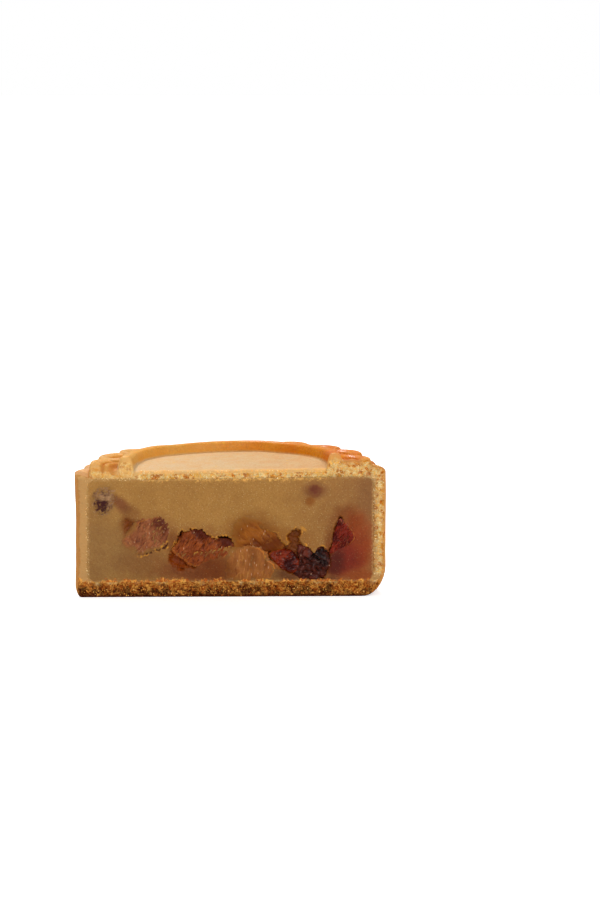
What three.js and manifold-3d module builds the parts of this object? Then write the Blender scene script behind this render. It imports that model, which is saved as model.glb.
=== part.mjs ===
// Half of a baked mooncake, cut straight through the middle: a moulded crust, the
// sweet paste inside it, and the pieces of candied fruit that the cut lays open.
// Millimetres, +Z up. The cake stands on its base at z = 0 and the cut face looks
// along -Y. Every solid is first made round the axis of the whole cake, with the
// cut in the plane y = 0, and the group then centres the half on the origin.

import * as THREE from 'three';
import { mergeVertices } from 'three/addons/utils/BufferGeometryUtils.js';
import Module from 'manifold-3d';

const wasm = await Module();
wasm.setup();

// The whole cake
const cakeRadius = 37.5; // axis to the crest of a lobe
const lobeCount = 18; // lobes round the edge, and petals round the top
const lobeCurve = 0.19 * cakeRadius; // radius of the arc of one lobe
const lobePitch = (2 * Math.PI) / lobeCount;
const topLean = 0.0105; // rise of the top for each millimetre towards +X

// Heights above the table
const ledgeHeight = 31.1; // flat ledge inside the lobed edge
const discHeight = 32.2; // round field inside the ring
const petalHeight = 33.6;
const ringHeight = 34.7;
const knifeSag = { depth: 1.35, reach: 6 }; // the knife drew the disc down beside the cut

// The crust's edges
const topEdge = 1.3; // radius of the rounded top edge
const baseEdge = { width: 1.5, height: 2.9 }; // rounding where the side meets the base
const wornEdge = { width: 5.8, height: 7.3, reach: 0.42 }; // the same at the +X end, reach in radians
const edgeSteps = 3;

// The pattern on top, all radii from the cake's axis
const ring = { inner: 0.622 * cakeRadius, outer: 0.724 * cakeRadius, topWidth: 1.7, foot: 2.5 };
const ringMiddle = (ring.inner + ring.outer) / 2;
const petal = { centre: 0.742 * cakeRadius, radius: 0.165 * cakeRadius, foot: 1.2, overlap: 0.05 };
const innerRound = 3.5; // radius of the lower round that lies in a petal
const hollow = 1.7; // radius of the hollow in that round
const drawnIn = 1.1; // how far the hollow's centre lies nearer the ring than the petal's
const depth = { groove: 1.35, innerRound: 0.75, hollow: 2.0 }; // all below the petal's crest
const disc = { foot: 29.9, floor: 30.3 }; // where the disc starts, and the cake's top under it

// The filling
const paste = { radius: 34.4, waist: 1.6, bottom: 3.7, top: 28.9, corner: 2.2 };
const gap = 0.3; // clearance between solids that would touch

// Number of flat steps in the round shapes
const stepsPerLobe = 12;
const pasteStepsPerLobe = 6;
const ringSteps = 96;
const discSteps = 48;
const discRows = 4;
const petalSteps = 28;
const mergeTolerance = 1e-4;
const cutterSize = 4 * cakeRadius;

// One piece of fruit each: its centre and half sizes as [x, y, z] with y = 0 in the
// cut, its turn in the plane of the cut, how uneven it is and where its bumps start
const fruit = {
  purple_nut: { at: [-30.5, 0.2, 23.2], half: [2.7, 2.6, 3.8], turn: -0.15, lumps: 0.1, phase: 0.4 },
  pink_fruit_chunk: { at: [-20.4, 0.4, 15.3], half: [5.7, 4.0, 4.1], turn: 0.18, lumps: 0.1, phase: 1.7 },
  red_fruit_chunk: { at: [-6.7, 0.4, 12.3], half: [7.1, 4.4, 4.3], turn: -0.22, lumps: 0.12, phase: 2.9 },
  amber_jelly: { at: [6.9, 0.8, 15.2], half: [6.2, 3.6, 3.5], turn: 0.12, lumps: 0.12, phase: 4.1 },
  pale_melon_piece: { at: [4.9, 0.6, 7.9], half: [5.9, 4.2, 3.3], turn: 0.1, lumps: 0.09, phase: 5.2 },
  glossy_red_piece: { at: [13.5, 0.3, 8.7], half: [3.2, 3.2, 2.8], turn: 0.5, lumps: 0.08, phase: 0.9 },
  dark_raisin: { at: [19.8, 0.2, 8.4], half: [3.5, 3.4, 4.3], turn: 0.1, lumps: 0.12, phase: 3.3 },
  red_wedge: { at: [27.6, 0.5, 14.6], half: [2.3, 3.2, 3.7], turn: -0.45, lumps: 0.08, phase: 2.2 },
  small_purple_piece: { at: [20.4, 0.1, 25.9], half: [2.1, 1.9, 1.6], turn: 0.2, lumps: 0.08, phase: 4.8 },
};
const fruitDetail = 3;

// Colour and roughness of each node
const finishes = {
  crust: { color: 0xc98f4a, roughness: 0.45 },
  paste: { color: 0xa87a45, roughness: 0.55 },
  purple_nut: { color: 0x6b4a44, roughness: 0.6 },
  pink_fruit_chunk: { color: 0x8f5a3c, roughness: 0.4 },
  red_fruit_chunk: { color: 0x7d3f22, roughness: 0.35 },
  amber_jelly: { color: 0x7a4316, roughness: 0.2 },
  pale_melon_piece: { color: 0x96622f, roughness: 0.3 },
  glossy_red_piece: { color: 0x64281a, roughness: 0.2 },
  dark_raisin: { color: 0x3a1a18, roughness: 0.3 },
  red_wedge: { color: 0x66281d, roughness: 0.25 },
  small_purple_piece: { color: 0x6e4336, roughness: 0.5 },
};

// A closed geometry as a manifold solid: shared corners joined, flat slivers dropped
function toSolid(geometry) {
  const bare = geometry.clone();
  bare.deleteAttribute('normal');
  bare.deleteAttribute('uv');
  const merged = mergeVertices(bare, mergeTolerance);
  const corners = merged.index.array;
  const kept = [];
  for (let i = 0; i < corners.length; i += 3) {
    const [a, b, c] = corners.slice(i, i + 3);
    if (a !== b && b !== c && c !== a) kept.push(a, b, c);
  }
  const vertProperties = new Float32Array(merged.attributes.position.array);
  return new wasm.Manifold(new wasm.Mesh({ numProp: 3, vertProperties, triVerts: new Uint32Array(kept) }));
}

// A manifold solid as a geometry for a mesh
function toGeometry(solid) {
  const { vertProperties, triVerts } = solid.getMesh();
  const geometry = new THREE.BufferGeometry();
  geometry.setAttribute('position', new THREE.BufferAttribute(vertProperties, 3));
  geometry.setIndex(new THREE.BufferAttribute(triVerts, 1));
  geometry.computeVertexNormals();
  return geometry;
}

// A profile of [radius, height] points turned round the Z axis
function turned(profile, steps) {
  const points = profile.map(([radius, height]) => new THREE.Vector2(radius, height));
  return new THREE.LatheGeometry(points, steps).rotateX(Math.PI / 2);
}

// Moves every corner of a geometry to the place that the function gives for it
function reshape(geometry, move) {
  const places = geometry.attributes.position;
  const place = new THREE.Vector3();
  for (let i = 0; i < places.count; i += 1) {
    place.fromBufferAttribute(places, i);
    move(place);
    places.setXYZ(i, place.x, place.y, place.z);
  }
  return geometry;
}

// Points of a quarter round from angle start, each [radius, height]
function quarterRound(centreRadius, centreHeight, width, height, start) {
  const points = [];
  for (let i = 0; i <= edgeSteps; i += 1) {
    const angle = start + (i / edgeSteps) * (Math.PI / 2);
    points.push([centreRadius + width * Math.cos(angle), centreHeight + height * Math.sin(angle)]);
  }
  return points;
}

// Angle from the nearest crest of a lobe: the crests lie at 0, 20, 40 ... degrees
function fromCrest(angle) {
  return angle - Math.round(angle / lobePitch) * lobePitch;
}

// Distance from the axis to the lobed edge, an arc on each lobe
function edgeRadius(angle) {
  const lobeCentre = cakeRadius - lobeCurve;
  const away = fromCrest(angle);
  const across = lobeCentre * Math.sin(away);
  return lobeCentre * Math.cos(away) + Math.sqrt(lobeCurve ** 2 - across ** 2);
}

// How worn the lower edge is at an angle: 1 at the +X end of the cut, 0 past its reach
function wear(angle) {
  const nearness = Math.max(0, 1 - Math.abs(angle) / wornEdge.reach);
  return nearness * nearness * (3 - 2 * nearness);
}

// The top of the cake leans a little, in proportion to height
function lean(place) {
  place.z *= 1 + (topLean * place.x) / ledgeHeight;
}

// The cake without its pattern: lobed side, rounded edges, ledge and the floor of the disc
function lobedBody() {
  const { width, height } = baseEdge;
  const profile = [
    [0, 0],
    ...quarterRound(cakeRadius - width, height, width, height, -Math.PI / 2),
    ...quarterRound(cakeRadius - topEdge, ledgeHeight - topEdge, topEdge, topEdge, 0),
    [ringMiddle, ledgeHeight],
    [ringMiddle, disc.floor],
    [0, disc.floor],
  ];
  const body = turned(profile, lobeCount * stepsPerLobe);
  return reshape(body, (place) => {
    const angle = Math.atan2(place.y, place.x);
    const radius = Math.hypot(place.x, place.y);
    if (radius < ringMiddle + mergeTolerance) return;
    const worn = place.z < height + mergeTolerance ? wear(angle) : 0;
    const inset = (cakeRadius - radius) * THREE.MathUtils.lerp(1, wornEdge.width / width, worn);
    const scale = (edgeRadius(angle) - inset) / radius;
    place.x *= scale;
    place.y *= scale;
    place.z *= THREE.MathUtils.lerp(1, wornEdge.height / height, worn);
  });
}

// The round field in the middle, its top drawn down beside the cut
function sunkDisc() {
  const rows = [];
  for (let i = discRows; i >= 0; i -= 1) rows.push([(ringMiddle * i) / discRows, discHeight]);
  const field = turned([[0, disc.foot], [ringMiddle, disc.foot], ...rows], discSteps);
  return reshape(field, (place) => {
    if (place.z > disc.foot) place.z -= knifeSag.depth * Math.exp(-Math.abs(place.y) / knifeSag.reach);
  });
}

// The raised ring between the disc and the petals, its foot sunk in the cake
function raisedRing() {
  const shoulder = ringHeight - 0.5;
  const halfTop = ring.topWidth / 2;
  return turned(
    [
      [ring.inner, ledgeHeight - ring.foot],
      [ring.outer, ledgeHeight - ring.foot],
      [ring.outer, ledgeHeight],
      [ringMiddle + halfTop + 0.45, shoulder],
      [ringMiddle + halfTop, ringHeight - 0.12],
      [ringMiddle, ringHeight],
      [ringMiddle - halfTop, ringHeight - 0.12],
      [ringMiddle - halfTop - 0.45, shoulder],
      [ring.inner, discHeight],
      [ring.inner, ledgeHeight - ring.foot],
    ],
    ringSteps,
  );
}

// A ridge that is steep outside and falls away slowly inside, as [radius, height] points
function ridge(outer, inner, crest) {
  const width = outer - inner;
  return [
    [outer, crest - 0.3 * width],
    [outer - 0.08 * width, crest - 0.11 * width],
    [outer - 0.25 * width, crest],
    [outer - 0.45 * width, crest],
    [outer - 0.75 * width, crest - 0.14 * width],
  ];
}

// One petal round its own centre: a ridge, a groove, and a lower round with a hollow
function petalProfile() {
  return [
    [0, ledgeHeight - petal.foot],
    [petal.radius, ledgeHeight - petal.foot],
    ...ridge(petal.radius, innerRound, petalHeight),
    [innerRound, petalHeight - depth.groove],
    ...ridge(innerRound, hollow, petalHeight - depth.innerRound),
    [hollow, petalHeight - depth.hollow],
    [0, petalHeight - depth.hollow],
  ];
}

// Draws the inner rounds of a petal towards the cake's axis, which lies at -X of it
function drawIn(place) {
  const fromCentre = Math.hypot(place.x, place.y) / petal.radius;
  place.x -= drawnIn * Math.max(0, 1 - fromCentre);
}

// All petals as one solid. Each lies over the one before it, so it first clears almost
// its own round out of what is there; none is added where the ring stands
function petalBand() {
  const clearedRadius = petal.radius - petal.overlap;
  const clearing = [
    [0, ledgeHeight - 2 * petal.foot],
    [clearedRadius, ledgeHeight - 2 * petal.foot],
    [clearedRadius, petalHeight + 1],
    [0, petalHeight + 1],
  ];
  const insideRing = toSolid(
    turned([[0, 0], [ringMiddle, 0], [ringMiddle, ringHeight + 1], [0, ringHeight + 1]], ringSteps),
  );
  let band = null;
  for (let i = lobeCount / 2; i >= 0; i -= 1) {
    const angle = i * lobePitch;
    const x = petal.centre * Math.cos(angle);
    const y = petal.centre * Math.sin(angle);
    const placed = (profile) => {
      const round = reshape(turned(profile, petalSteps), drawIn);
      return toSolid(round.rotateZ(angle).translate(x, y, 0));
    };
    const next = placed(petalProfile());
    band = band ? band.subtract(placed(clearing)).add(next) : next;
  }
  return band.subtract(insideRing);
}

// The space that the paste fills, grown on every side by the given clearance
function pasteSpace(clearance) {
  const radius = paste.radius + clearance;
  const bottom = paste.bottom - clearance;
  const top = paste.top + clearance;
  const corner = paste.corner;
  const profile = [
    [0, bottom],
    ...quarterRound(radius - corner, bottom + corner, corner, corner, -Math.PI / 2),
    ...quarterRound(radius - corner, top - corner, corner, corner, 0),
    [0, top],
  ];
  const space = turned(profile, lobeCount * pasteStepsPerLobe);
  return reshape(space, (place) => {
    const away = fromCrest(Math.atan2(place.y, place.x)) / lobePitch;
    const pulledIn = (paste.waist * (1 - Math.cos(2 * Math.PI * away))) / 2;
    const scale = 1 - pulledIn / radius;
    place.x *= scale;
    place.y *= scale;
  });
}

// An uneven rounded lump of fruit, grown on every side by the given clearance
function fruitLump({ at, half, turn, lumps, phase }, clearance) {
  const lump = new THREE.IcosahedronGeometry(1, fruitDetail);
  reshape(lump, (place) => {
    const wave = Math.sin(3.1 * place.x + phase) + Math.sin(3.7 * place.z + 2 * phase);
    const swell = 1 + lumps * (wave + Math.sin(2.3 * place.y + 5.3 * place.x * place.z + phase)) / 2;
    place.set(
      place.x * (half[0] * swell + clearance),
      place.y * (half[1] * swell + clearance),
      place.z * (half[2] * swell + clearance),
    );
  });
  return lump.rotateY(turn).translate(...at);
}

// The half of the cake behind the cut
const cutter = new THREE.BoxGeometry(cutterSize, cutterSize, cutterSize);
const behindCut = toSolid(cutter.translate(0, cutterSize / 2, 0));

const group = new THREE.Group();

// Adds one node to the group, with its lean and its own material
function addNode(name, solid) {
  const mesh = new THREE.Mesh(
    reshape(toGeometry(solid), lean),
    new THREE.MeshStandardMaterial({ metalness: 0, ...finishes[name] }),
  );
  mesh.name = name;
  group.add(mesh);
}

const crust = toSolid(lobedBody())
  .add(petalBand())
  .add(toSolid(sunkDisc()))
  .add(toSolid(raisedRing()))
  .subtract(toSolid(pasteSpace(gap)))
  .intersect(behindCut);
addNode('crust', crust);

// Each piece of fruit gives way to the ones before it, and the paste gives way to all
let filling = toSolid(pasteSpace(0)).intersect(behindCut);
let taken = null;
for (const [name, shape] of Object.entries(fruit)) {
  let piece = toSolid(fruitLump(shape, 0)).intersect(behindCut);
  if (taken) piece = piece.subtract(taken);
  addNode(name, piece);
  const pocket = toSolid(fruitLump(shape, gap));
  taken = taken ? taken.add(pocket) : pocket;
}
filling = filling.subtract(taken);
addNode('paste', filling);

// The outermost lobes of the half stand half a pitch off the Y axis
const reach = (cakeRadius - lobeCurve) * Math.cos(lobePitch / 2) + lobeCurve;
group.position.y = -reach / 2;

export default group;
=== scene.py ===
import random
from math import atan2, ceil, cos, exp, hypot, pi, radians, sin, sqrt

import bmesh
import bpy
from mathutils import Euler, Matrix, Vector, noise


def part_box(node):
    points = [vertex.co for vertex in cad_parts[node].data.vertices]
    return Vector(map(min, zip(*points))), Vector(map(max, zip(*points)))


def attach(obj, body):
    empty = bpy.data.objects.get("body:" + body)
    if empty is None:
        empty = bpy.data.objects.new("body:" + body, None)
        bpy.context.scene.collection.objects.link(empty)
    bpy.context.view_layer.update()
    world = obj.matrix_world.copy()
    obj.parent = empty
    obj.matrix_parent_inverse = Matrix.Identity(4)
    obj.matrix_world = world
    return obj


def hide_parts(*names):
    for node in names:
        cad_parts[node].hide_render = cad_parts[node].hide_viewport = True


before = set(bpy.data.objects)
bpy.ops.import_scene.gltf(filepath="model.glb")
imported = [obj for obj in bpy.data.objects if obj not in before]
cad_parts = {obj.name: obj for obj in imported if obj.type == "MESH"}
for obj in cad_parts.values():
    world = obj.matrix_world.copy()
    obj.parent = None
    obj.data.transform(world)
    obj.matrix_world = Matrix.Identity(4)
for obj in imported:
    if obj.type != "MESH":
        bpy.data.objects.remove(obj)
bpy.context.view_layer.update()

# Half a baked mooncake. Shapes are made in millimetres round the axis of the whole
# cake, with the cut in the plane y = 0, and moved into the frame when they are done.
millimetre = 0.001
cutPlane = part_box("crust")[0].y


def between(low, high, value):  # 0 below low, 1 above high, smooth from one to the other
    t = min(1.0, max(0.0, (value - low) / (high - low)))
    return t * t * (3 - 2 * t)


def mix(first, second, amount):
    return first + (second - first) * amount


def along(points, value):  # height at value on a line through (place, height) points
    for (x0, y0), (x1, y1) in zip(points, points[1:]):
        if value <= x1:
            return mix(y0, y1, max(0.0, (value - x0) / (x1 - x0)))
    return points[-1][1]


def wobble(x, y, z, size, octaves=1):  # smooth noise from -1 to 1, its bumps about size apart
    place = Vector((x, y, z)) / size
    total = noise.noise(place)
    for octave in range(1, octaves):
        total += noise.noise(place * 2 ** octave + Vector((7.3, 1.9, 4.1)) * octave) / 2 ** octave
    return total


def colour(red, green, blue):  # a colour as it looks on screen, 0 to 255, to linear light
    def linear(value):
        value /= 255
        return value / 12.92 if value <= 0.04045 else ((value + 0.055) / 1.055) ** 2.4
    return (linear(red), linear(green), linear(blue), 1.0)


def layOver(tint, weight, over, amount):  # lays a colour over a tint that itself has a weight
    if amount <= 0:
        return tint, weight
    total = weight + amount * (1 - weight)
    return tint.lerp(Vector(over[:3]), amount / total), total


def addLayers(bm, *names):  # a layer of numbers on the points for each name, and the stain's colours
    layer = {name: bm.verts.layers.float.new(name) for name in names}
    layer["stain"] = bm.verts.layers.float_color.new("stain")
    return layer


# The cake's form, the same as the solids have
cake = {
    "radius": 37.5,  # axis to the crest of a lobe
    "lobes": 18,
    "lobeCurve": 0.19,  # of the radius
    "ledge": 31.1,  # heights above the table
    "disc": 32.2,
    "petals": 33.6,
    "lean": 0.0105,  # rise of the top for each millimetre towards +X
    "sag": 1.35,  # how far the knife drew the disc down beside the cut
    "sagReach": 6.0,
    "topEdge": 1.3,
    "topEdgeLeft": 0.5,  # at the -X end of the cut
    "footWidth": 1.5,
    "footHeight": 2.9,
    "wornWidth": 5.8,  # the foot's rounding at the +X end of the cut
    "wornHeight": 7.3,
    "wornReach": 0.42,
    "ringInner": 23.33,
    "ringOuter": 27.15,
    "petalCentre": 27.83,
    "petalRadius": 6.19,
    "drawnIn": 1.1,  # a petal's inner rounds lie nearer the ring
}
pitch = 2 * pi / cake["lobes"]

filling = {
    "radius": 34.4,
    "bottom": 3.7,
    "top": 28.9,
    "corner": 2.2,
}


def arcEdge(centre, curve, angle):  # edge of a row of arcs, one on each lobe
    away = angle - round(angle / pitch) * pitch
    return centre * cos(away) + sqrt(max(0.0, curve ** 2 - (centre * sin(away)) ** 2))


def lobeEdge(angle):
    curve = cake["lobeCurve"] * cake["radius"]
    return arcEdge(cake["radius"] - curve, curve, angle)


def petalEdge(angle):
    return arcEdge(cake["petalCentre"], cake["petalRadius"], angle)


def lean(bm):  # the top of the cake leans a little, in proportion to height
    for vert in bm.verts:
        vert.co.z *= 1 + cake["lean"] * vert.co.x / cake["ledge"]


crust = {
    "steps": 360,  # round the half
    "rows": {"base": 7, "foot": 9, "side": 44, "brow": 8, "ledge": 9, "petals": 40, "ring": 27, "disc": 30},
    "crumbSpacing": 0.24,  # between the points of the cut crumb, along the edge
    "crumbRows": 17,
    "cavityRows": 7,
    "softness": 0.35,  # blend where ledge and ring meet
    "petalSoftness": 0.175,
    "discSoftness": 0.25,
    "unevenness": 0.2,  # of the dough as it baked
    "lowLobes": 0.6,  # how much lower the lobes at the back left have baked
    "narrowing": 0.03,  # at each end of the cut, to stay inside the solid
    "valley": (32.4, 33.3),  # heights between which a petal's groove, with the shade painted in it, ends
    "raised": (31.2, 33.9),  # heights between which the top browns
    "brownFrom": 22.9,  # radius
    # torn crumb in the hollows at the +X end of the cut, lower by slope for each millimetre past startX
    "torn": {"startX": 26.8, "above": 30.5, "behind": 3.0, "height": 34.0, "slope": -0.25, "share": 0.65},
    # how pale the knife smeared the skin beside the cut, along X
    "knifeSmear": [(-37.5, 0.1), (-28.2, 0.2), (-27.4, 1.0), (24, 1.0), (27, 0.6), (37.5, 0.6)],
    # radius with which the knife rounded the edge of the cut, along X
    "cutRounding": [(-36.5, 0.8), (-34, 1.7), (-23.4, 1.3), (-22.0, 0.7), (22, 0.7), (23.5, 0.5), (38, 0.6)],
    # how crumbly the cut is at its right wall, beside the disc, along the left ledge and elsewhere
    "crumbly": {"right": 0.55, "disc": 0.55, "left": 0.27, "least": 0.08},
    # a petal from its middle out, as (distance, height above the crest)
    "petal": [(0, -2.0), (1.2, -2.05), (1.6, -1.95), (1.85, -1.35), (2.2, -0.92), (2.7, -0.75), (3.05, -0.8),
              (3.32, -1.1), (3.5, -1.38), (3.68, -1.05), (4.1, -0.5), (4.7, -0.16), (5.2, 0.0), (5.6, -0.04),
              (5.9, -0.3), (6.08, -0.8), (6.19, -2.5)],
    # the ring, as (radius, height)
    "wall": [(23.2, 29.9), (23.33, 32.0), (23.62, 33.3), (23.94, 34.12), (24.15, 34.42), (24.5, 34.62),
             (25.24, 34.7), (26.0, 34.62), (26.3, 34.45), (26.54, 34.15), (26.8, 33.2), (27.15, 31.1)],
}


def petalHeight(x, y):  # the lower-numbered petal lies on top of the next
    first = max(0, int(atan2(y, x) / pitch) - 1)
    for number in range(first, first + 4):
        turn = number * pitch
        outwards = x * cos(turn) + y * sin(turn) - cake["petalCentre"]
        across = y * cos(turn) - x * sin(turn)
        reach = hypot(outwards, across)
        for _ in range(3):
            shift = cake["drawnIn"] * max(0.0, 1 - reach / cake["petalRadius"])
            reach = hypot(outwards + shift, across)
        if reach < cake["petalRadius"]:
            return cake["petals"] + along(crust["petal"], reach)
    return cake["ledge"]


def higher(first, second, softness):  # the higher of two, rounded where they cross
    gap = max(0.0, softness - abs(first - second)) / softness
    return max(first, second) + gap * gap * softness / 4


def topHeight(x, y):  # the moulded top at a place
    radius = hypot(x, y)
    wall = along(crust["wall"], radius)
    if radius < cake["ringInner"] + 1.5:
        floor = cake["disc"] - cake["sag"] * exp(-y / cake["sagReach"])
        return higher(floor, wall, crust["discSoftness"])
    height = higher(cake["ledge"], wall if radius < cake["ringOuter"] else 0, crust["softness"])
    return higher(height, petalHeight(x, y), crust["petalSoftness"])


def crustRows():  # (zone, how far through it) from the middle of the base to the middle of the disc
    rows = []
    for zone, count in crust["rows"].items():
        rows += [(zone, step / count) for step in range(count)]
    return rows + [("disc", 1.0)]


def crustPoint(zone, t, angle):  # radius and height of the skin
    edge = lobeEdge(angle)
    petals = petalEdge(angle) + 0.03  # just outside the petals
    ringInner = cake["ringInner"] - 0.14  # just inside the ring
    worn = between(0.0, 1.0, 1 - abs(angle) / cake["wornReach"])
    footWidth = mix(cake["footWidth"], cake["wornWidth"], worn)
    footHeight = mix(cake["footHeight"], cake["wornHeight"], worn)
    topEdge = mix(cake["topEdgeLeft"], cake["topEdge"], between(0.0, 0.4, pi - angle))
    browStart = cake["ledge"] - topEdge
    turn = t * pi / 2
    if zone == "base":
        return (edge - footWidth) * t, 0.0
    if zone == "foot":
        return edge - footWidth * (1 - sin(turn)), footHeight * (1 - cos(turn))
    if zone == "side":
        return edge, mix(footHeight, browStart, t)
    if zone == "brow":
        return edge - topEdge * (1 - cos(turn)), browStart + topEdge * sin(turn)
    spans = {"ledge": (edge - topEdge, petals), "petals": (petals, cake["ringOuter"]),
             "ring": (cake["ringOuter"], ringInner), "disc": (ringInner, 0.0)}
    radius = mix(*spans[zone], t)
    return radius, topHeight(radius * cos(angle), radius * sin(angle))


def onFilling(x, z):  # nearest point of the filling's outline in the cut
    corner = filling["corner"]
    boxX = filling["radius"] - corner
    coreX = min(boxX, max(-boxX, x))
    coreZ = min(filling["top"] - corner, max(filling["bottom"] + corner, z))
    awayX, awayZ = x - coreX, z - coreZ
    length = hypot(awayX, awayZ)
    return coreX + awayX * corner / length, coreZ + awayZ * corner / length


def roundBack(bm, edges, rows):  # carries a loop in the cut backwards round the cake's axis and closes it
    reach, turn = radians(86), 0.0
    for row in range(1, rows + 1):
        made = bmesh.ops.extrude_edge_only(bm, edges=edges)["geom"]
        edges = [part for part in made if isinstance(part, bmesh.types.BMEdge)]
        before, turn = turn, row / rows * reach
        for vert in [part for part in made if isinstance(part, bmesh.types.BMVert)]:
            vert.co.x = vert.co.x / cos(before) * cos(turn)
            vert.co.y = filling["radius"] * sin(turn)
    bmesh.ops.contextual_create(bm, geom=edges)


def crumbliness(x, z):  # 0 where the knife left the crust smooth, 1 where it broke into crumbs
    crumbly = crust["crumbly"]
    bottom = 1 - between(3.0, 4.4, z)
    right = crumbly["right"] * between(29, 32, x) * between(4, 7, z)
    disc = crumbly["disc"] * between(-23.4, -21, x) * between(28, 29, z) * between(34, 31.5, z)
    left = crumbly["left"] * between(-35, -34, x) * between(-21.5, -23, x) * between(28.6, 29.6, z)
    return max(bottom, right, disc, left, crumbly["least"])


def woolly(x, y, z, size):  # stringy ridges from about -1 in the gaps to 1 on top
    return 1 - 3.0 * abs(wobble(x, y, z, size, 2))


def crumbRelief(x, z):  # how far a point of the cut crumb lies behind the cut
    strings = 0.2 * woolly(x, 5.0, z, 2.0) + 0.2 * woolly(x, 7.0, z, 0.9)
    holes = 0.4 * between(0.1, 0.7, wobble(x, 9.0, z, 1.3, 2))
    return (0.18 - strings + holes) * crumbliness(x, z) + 0.04 * wobble(x, 2.0, z, 1.0)


def cutEdge(x, z):  # how far the cut face reaches on the side of x at a height
    end = "worn" if x > 0 else "foot"
    below = max(0.0, 1 - z / cake[end + "Height"])
    return cake["radius"] - cake[end + "Width"] * (1 - sqrt(1 - below * below))


def spinSkin(bm, layer):  # the outline of the crust carried round the half, then onto each lobe
    rows = crustRows()
    line = []
    for number, (zone, t) in enumerate(rows):
        radius, height = crustPoint(zone, t, 0.0)
        line.append(bm.verts.new((radius, 0, height)))
        line[-1][layer["row"]] = number
    edges = [bm.edges.new(pair) for pair in zip(line, line[1:])]
    bmesh.ops.spin(bm, geom=line + edges, axis=(0, 0, 1), cent=(0, 0, 0), angle=pi, steps=crust["steps"],
                   use_merge=False)
    for vert in bm.verts:
        zone, t = rows[round(vert[layer["row"]])]
        angle = atan2(max(0.0, vert.co.y), vert.co.x)
        radius, height = crustPoint(zone, t, angle)
        vert.co = (radius * cos(angle), radius * sin(angle), height)
        # painted shade in the grooves between petals, fading out above them
        vert[layer["valley"]] = 1 - between(*crust["valley"], height) if zone == "petals" else 0.0
    bmesh.ops.remove_doubles(bm, verts=bm.verts, dist=0.002)


def bake(vert, layer):  # the dough rises unevenly, and browns where it stands up
    x, y, z = vert.co
    fromAxis = hypot(x, y)
    swell = crust["unevenness"] * wobble(x, y, z, 11, 3) * between(0.0, 3.0, z)
    push = swell * (fromAxis / cake["radius"]) * 0.9 / max(0.1, fromAxis)
    low = crust["lowLobes"] * between(0.45, 0.8, y / cake["radius"]) * between(2, -18, x)
    vert.co.x += x * push - crust["narrowing"] * x / 37
    vert.co.y += y * push * between(0.0, 2.0, y)
    vert.co.z += (swell * 0.7 - low) * between(24, 31, z)
    vert[layer["brown"]] = between(*crust["raised"], z) if fromAxis > crust["brownFrom"] else 0.0
    vert[layer["outer"]] = between(27.0, 27.6, fromAxis)
    vert[layer["disc"]] = 1.0 if fromAxis < cake["ringInner"] and z > filling["top"] else 0.0


def cutSkin(vert, x, y, z, layer):  # what the knife did beside the cut, by the place before baking
    torn = crust["torn"]
    if z > torn["above"] and x > torn["startX"] and y < torn["behind"]:
        top = torn["height"] + torn["slope"] * (x - torn["startX"]) + 0.12 * wobble(x, y, 5, 0.9)
        fade = (1 - between(0.4, torn["behind"], y)) * (1 - between(35.4, 36.6, x))
        vert.co.z += max(0.0, top - z) * torn["share"] * fade
    vert[layer["knife"]] = (1 - between(0.0, 1.4, y)) * along(crust["knifeSmear"], x) * between(0.5, 3.0, z)
    rounding = along(crust["cutRounding"], x)
    if y < rounding:
        drop = rounding - sqrt(rounding ** 2 - (rounding - y) ** 2)
        onTop = between(29.0, 31.2, z)
        vert.co.z -= drop * onTop
        vert.co.x -= drop * (1 - onTop) * between(0.5, 3.0, z) * (0.8 if x > 0 else -0.8)


def boundary(bm):
    return [edge for edge in bm.edges if edge.is_boundary]


def addCutCrumb(bm, layer):  # the crust's own thickness in the cut, from the skin in to the filling
    byCuts = {}
    for edge in boundary(bm):
        byCuts.setdefault(ceil(edge.calc_length() / crust["crumbSpacing"]) - 1, []).append(edge)
    for cuts, group in sorted(byCuts.items()):
        if cuts > 0:
            bmesh.ops.subdivide_edges(bm, edges=group, cuts=cuts)
    made = bmesh.ops.extrude_edge_only(bm, edges=boundary(bm))["geom"]
    for face in [part for part in made if isinstance(part, bmesh.types.BMFace)]:
        face.material_index = 1
    inner = {part for part in made if isinstance(part, bmesh.types.BMVert)}
    for vert in inner:
        vert.co.x, vert.co.z = onFilling(vert.co.x, vert.co.z)
        vert.co.y = 0
        vert[layer["rim"]] = 1.0
    cross = [edge for edge in bm.edges if (edge.verts[0] in inner) != (edge.verts[1] in inner)]
    bmesh.ops.subdivide_edges(bm, edges=cross, cuts=crust["crumbRows"], use_grid_fill=True)
    for vert in {vert for face in bm.faces if face.material_index == 1 for vert in face.verts}:
        x, z = vert.co.x, vert.co.z
        relief, rim = crumbRelief(x, z), vert[layer["rim"]]
        atEdge = (between(0.0, 0.15, rim) * 0.85 + 0.15) * (1 - between(0.86, 1.0, rim))
        vert.co.y = max(-0.25, relief * atEdge)
        vert[layer["relief"]] = relief
        vert[layer["rough"]] = crumbliness(x, z)
        tint, weight = stainAt(x, z)
        vert[layer["stain"]] = (*tint, weight)


def closeBack(bm, rows):  # a sharp edge round the cut face, the hidden side behind it, and the lean
    outline = boundary(bm)
    for edge in outline:
        edge.smooth = False
    roundBack(bm, outline, rows)
    bmesh.ops.recalc_face_normals(bm, faces=bm.faces)
    lean(bm)
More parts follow.
